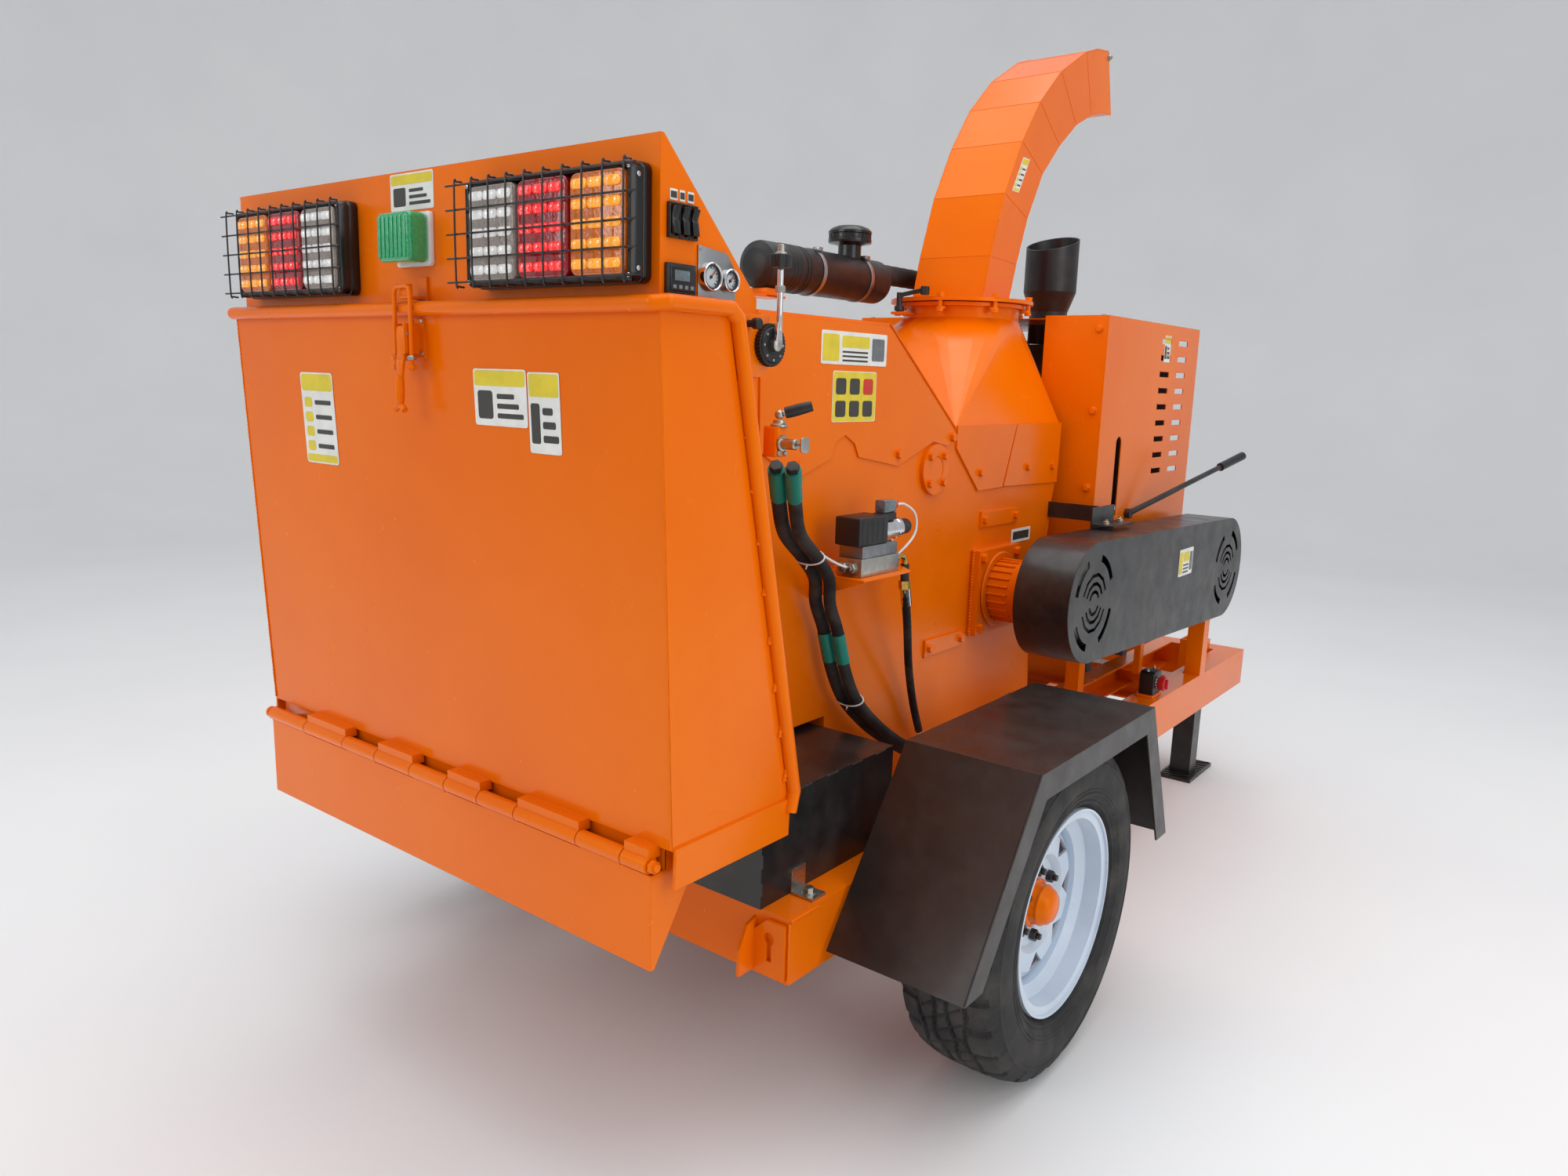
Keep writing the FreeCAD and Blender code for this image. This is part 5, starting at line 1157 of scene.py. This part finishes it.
def air_filter():
    x, z = FILTER_X, FILTER_Z
    made = Piece("air_filter_detail")
    made.lathe((x, 160, z), FRONT, FILTER_CAN, PLASTIC, 64)
    for y in (370, 585):
        made.ring((x, y, z), FRONT, 57.4, 59.6, 13, STEEL, 64, 0.6)
        made.box(x + 20, x + 40, y - 2, y + 16, z + 50, z + 60, STEEL, 1)
    for k in range(6):
        made.ring((x, 250 + k * 14, z), FRONT, 57.0, 58.4, 5, PLASTIC, 64, 0.6)
    made.tube([(x, 680, 1652), (x, 960, 1650), (x, 1060, 1632), (x, 1091, 1590),
               (x, 1095, 1545)], 26.5, HOSE, 30, 14, lambda i, n: 1.0 + 0.03 * (i % 2))
    made.lathe((x, 560, z + 50), UP, INTAKE_CAP, GLOSS_BLACK, 56)
    for a in turns(24):
        rib = polar(x, 560, 55, a)
        made.bar([(*rib, z + 92), (*rib, z + 114)], 1.6, PLASTIC, 6)
    # Bracket
    made.box(x - 40, x + 40, -30, 30, 1477, 1483, ORANGE, 1)
    made.box(x - 6, x + 6, -20, 24, 1482, 1556, ORANGE, 1)
    made.box(x - 30, x + 30, 20, 250, 1550, 1556, ORANGE, 1)
    made.box(x - 30, x + 30, 176, 230, 1552, z - 55, ORANGE, 1)
    made.done("chassis", "air_filter")


# --------------------------------------------------- hood, guard, switch, jacks
KNOB_Y, KNOB_Z = 1224, 507


def hood_fasteners():
    """Bolts, corner beads and the lips over the side louvres."""
    made = Piece("hood_fasteners")
    for side in SIDES:
        for z in (1514, 1297, 1088):
            made.hex((side * 372, 950, z), REAR, 9, 7, ORANGE, 0.3, 0, 12)
        for y in (975, 1320, 1680):
            made.rod((side * 372, y, 1550), UP, 6, 4, ZINC, 1.2, 20)
    for side in SIDES:
        made.weld([(side * 395.5, 951, 905), (side * 395.5, 951, 1548)], 1.6)
    for side in SIDES:
        for y in (1375, 1520):
            for k in range(9):
                z = 1500 - k * 48
                made.tube([(side * 395.6, y + 2, z + 8.6), (side * 396.4, y + 40, z + 9.0),
                           (side * 395.6, y + 78, z + 8.6)], 1.4, ORANGE, 8, 4)
    made.done("chassis")


def radiator():
    made = Piece("radiator_detail")
    made.box(-329, 329, 1698, 1704, 1462, 1498, PLASTIC, 3, 3)
    made.box(-329, 329, 1698, 1704, 972, 1008, PLASTIC, 3, 3)
    for side in SIDES:
        x = side * 316
        made.box(x - 13, x + 13, 1698, 1703, 1004, 1466, BLACK, 2)
        for z in (1040, 1235, 1430):
            made.hex((x, 1703, z), FRONT, 7, 5, ZINC, 0.2, 0, 10)
    for k in range(54):
        x = -299 + k * 11.1
        made.box(x, x + 2.2, 1698.5, 1702.2, 1006, 1464, ALU, 0.4, 1)
    for k in range(12):
        z = 1032 + k * 37
        made.box(-302, 302, 1698.5, 1701, z, z + 3, ALU, 0.4, 1)
    made.lathe((-200, 1660, 1499), UP,
               [(0, 0), (0, 26), (3, 26), (4, 30), (12, 30), (14, 26), (14, 0)], ALU, 40)
    made.done("chassis")


def guard_fasteners():
    made = Piece("guard_fasteners")
    for y in (868, 962):
        made.hex((468, y, 1004), UP, 8, 6, ZINC, 0.2, 4, 11)
    angles = [radians(95 + 5.5 * k) for k in range(32)]
    made.bar([(574.5, ROTOR_Y + 150 * cos(a), ROTOR_Z + 146 * sin(a)) for a in angles],
             1.5, BLACK, 8)
    made.hex((520, 1590, 656), UP, 8, 6, ZINC, 0.2, 4, 11)
    made.done("chassis")


def isolator_switch():
    made = Piece("isolator_detail")
    made.box(478, 528, 1185, 1262, 465, 473, ORANGE, 1)
    made.prism([(1192, 473), (1256, 473), (1256, 536), (1246, 543), (1202, 543), (1192, 536)],
               "X", 482, 526, PLASTIC, 3, 3)
    made.ring((524, KNOB_Y, KNOB_Z), RIGHT, 6, 18, 5, CHROME, 40, 1)
    for y in (1198, 1250):
        made.hex((504, y, 543), UP, 5, 4, ZINC, 0, 4)
    made.done("chassis", "isolator_switch")


def isolator_knob():
    made = Piece("isolator_knob_detail")
    made.prism(lobed(KNOB_Y, KNOB_Z, 19.4, 1.4, 10), "X", 530, 551, RED_KNOB, 2.5, 3)
    made.prism(rounded(KNOB_Y - 5, KNOB_Y + 5, KNOB_Z - 15, KNOB_Z + 15, 3), "X",
               550, 558.5, RED_KNOB, 2, 3)
    made.done("isolator", "isolator_knob")


def jack_treads():
    """Slanting ribs on each jack foot."""
    for side, tag, body in ((1, "right", "jack_r"), (-1, "left", "jack_l")):
        made = Piece("jack_tread_" + tag)
        x = side * 410 - 50
        for k in range(9):
            y = 1854 + k * 26
            made.bar([(x, y, 13), (x + 100, min(y + 34, 2086), 13)], 2.0, BLACK, 6)
        made.done(body)


def clamp_knob_ribs():
    made = Piece("clamp_knob_ribs")
    for a in turns(10):
        rib = polar(14, 636, 11, a)
        made.bar([(*rib, 1589), (*rib, 1605)], 1.3, PLASTIC, 6)
    made.done("chute_lock")


# ---------------------------------------------------------------- chute details
CHUTE_HALF = 110
CHUTE_FOOT_Z = 1587
# Chute side edges from the foot upward: (y, z); both have a station at each bend
CHUTE_REAR = [
    (777, 1586), (806, 1700), (866, 1868), (948, 2015), (1040, 2135), (1160, 2240),
    (1318, 2328), (1400, 2356), (1480, 2368)]
CHUTE_FRONT = [
    (925, 1586), (958, 1690), (1008, 1820), (1085, 1951), (1184, 2045), (1289, 2122),
    (1393, 2169), (1470, 2190), (1535, 2196)]


def chute_welds():
    made = Piece("chute_weld_beads")
    for (y0, z0), (y1, z1) in zip(CHUTE_REAR[1:7], CHUTE_FRONT[1:7]):
        for side in SIDES:
            x = side * (CHUTE_HALF + 0.3)
            made.weld([(x, y0 + 6, z0 - 2), (x, y1 - 6, z1 + 2)], 0.7)
        made.weld([(-108, y0 - 0.2, z0), (108, y0 - 0.2, z0)], 0.8)
    for side in SIDES:
        for line in (CHUTE_REAR, CHUTE_FRONT):
            made.weld([(side * (CHUTE_HALF - 0.4), y, z) for y, z in line], 1.7)
        x = side * (CHUTE_HALF + 1)
        made.weld([(x, CHUTE_REAR[0][0], CHUTE_FOOT_Z), (x, CHUTE_FRONT[0][0], CHUTE_FOOT_Z)],
                  4.0)
    for y in (776, 926):
        made.weld([(-CHUTE_HALF, y, CHUTE_FOOT_Z), (CHUTE_HALF, y, CHUTE_FOOT_Z)], 4.0)
    for side in SIDES:
        made.hex((side * 110.2, 1486, 2352), (side, 0, 0), 8, 6, ZINC, 0.1, 3, 11)
    made.done("chute")


def flap_lining():
    made = Piece("flap_lining")
    pivot = mm(0, 1492.5, 2368.5)
    tilt = Matrix.Rotation(radians(17.3), 4, "X")
    made.box(-98, 98, 1497, 1502, 2206, 2352, HOSE, 1.5, 2,
             Matrix.Translation(pivot) @ tilt @ Matrix.Translation(-pivot))
    made.done("flap")


# ----------------------------------------------------- studio, metres from here
FLOOR_Z = -0.0005
FLOOR_RADIUS, COVE_RADIUS, WALL_TOP = 7.5, 4.0, 9.0
FLOOR_SEGMENTS = 96
FLOOR_CENTRE_Y = 0.5 + ROW_Y


def studio_floor():
    """Round floor swept up through a cove into a wall."""
    profile = [(0.0, FLOOR_Z), (3.0, FLOOR_Z), (FLOOR_RADIUS, FLOOR_Z)]
    for k in range(1, 17):
        t = pi / 2 * k / 16
        profile.append((FLOOR_RADIUS + COVE_RADIUS * sin(t),
                        COVE_RADIUS - COVE_RADIUS * cos(t) + FLOOR_Z))
    profile.append((FLOOR_RADIUS + COVE_RADIUS, WALL_TOP))
    n = FLOOR_SEGMENTS
    verts = [(*polar(0, FLOOR_CENTRE_Y, r, a), z) for r, z in profile for a in turns(n)]
    faces = [(a * n + k, a * n + (k + 1) % n, (a + 1) * n + (k + 1) % n, (a + 1) * n + k)
             for a in range(len(profile) - 1) for k in range(n)]
    mesh = bpy.data.meshes.new("floor_mesh")
    mesh.from_pydata(verts, [], faces)
    mesh.shade_smooth()
    floor = bpy.data.objects.new("studio_floor", mesh)
    bpy.context.scene.collection.objects.link(floor)
    paper = Shader("studio_floor_paper")
    cloud = paper.remap(paper.noise(scale=0.7, detail=3), span=(0.3, 0.7), to=(0.0, 1.0))
    paper.set(Base_Color=paper.mix(cloud, srgb(243, 243, 242), srgb(238, 238, 238)),
              Roughness=0.72)
    mesh.materials.append(paper.material)


def studio_world():
    world = bpy.data.worlds.new("studio_world")
    bpy.context.scene.world = world
    world.use_nodes = True
    background = world.node_tree.nodes["Background"]
    background.inputs["Color"].default_value = (0.93, 0.95, 1.0, 1)
    background.inputs["Strength"].default_value = 0.62


def area_light(name, place, target, size, power):
    """Rectangular light aimed at the target; both are measured from the axle line."""
    light = bpy.data.lights.new(name, "AREA")
    light.shape = "RECTANGLE"
    light.size, light.size_y = size
    light.energy = power
    made = bpy.data.objects.new(name, light)
    made.location = (place[0], place[1] + ROW_Y, place[2])
    aim = Vector(target) - Vector(place)
    made.rotation_euler = aim.to_track_quat("-Z", "Y").to_euler()
    bpy.context.scene.collection.objects.link(made)


def studio_lights():
    area_light("soft_top", place=(0.6, 0.2, 5.2), target=(0, 0.4, 0.8), size=(5.0, 6.0),
               power=150)
    area_light("soft_rear", place=(-1.6, -5.2, 3.2), target=(0, 0, 0.9), size=(3.2, 2.4),
               power=62)
    area_light("soft_right", place=(5.2, -0.6, 2.6), target=(0, 0.4, 0.9), size=(3.0, 4.0),
               power=62)


CAMERA_PLACE = (1.56463, -1.93514 + ROW_Y, 1.35621)
# Degrees: yaw to the left of +Y, pitch below level, roll about the view
CAMERA_YAW, CAMERA_PITCH, CAMERA_ROLL = 37.7528, 10.79545, 1.71550


def camera():
    view = bpy.data.cameras.new("photo_view")
    view.sensor_fit = "HORIZONTAL"
    view.sensor_width = 36.0
    view.lens = 25.1128
    view.clip_start = 0.02
    view.clip_end = 200
    made = bpy.data.objects.new("photo_view", view)
    bpy.context.scene.collection.objects.link(made)
    yaw, pitch, roll = radians(CAMERA_YAW), radians(CAMERA_PITCH), radians(CAMERA_ROLL)
    forward = Vector((-sin(yaw) * cos(pitch), cos(yaw) * cos(pitch), -sin(pitch)))
    level = Vector((cos(yaw), sin(yaw), 0))
    upward = level.cross(forward)
    across = level * cos(roll) + upward * sin(roll)
    above = -level * sin(roll) + upward * cos(roll)
    matrix = Matrix((across, above, -forward)).transposed().to_4x4()
    matrix.translation = Vector(CAMERA_PLACE)
    made.matrix_world = matrix
    bpy.context.scene.camera = made
    bpy.context.scene.view_settings.view_transform = "Standard"


for build in (
        coat_nodes, wheels, lamp_housings, lamp_lenses, lamp_guards, marker_lamp,
        latch_lever, latch_hook, latch_screws, instrument_panel, rockers, throttle_quadrant,
        throttle_lever, control_valve, valve_handle, ignition_key, valve_block, hoses, plates,
        tray_welds, body_welds, bearings, tank_and_fender_welds, frame_welds, air_filter,
        hood_fasteners, radiator, guard_fasteners, isolator_switch, isolator_knob,
        jack_treads, clamp_knob_ribs, chute_welds, flap_lining,
        studio_floor, studio_world, studio_lights, camera):
    build()
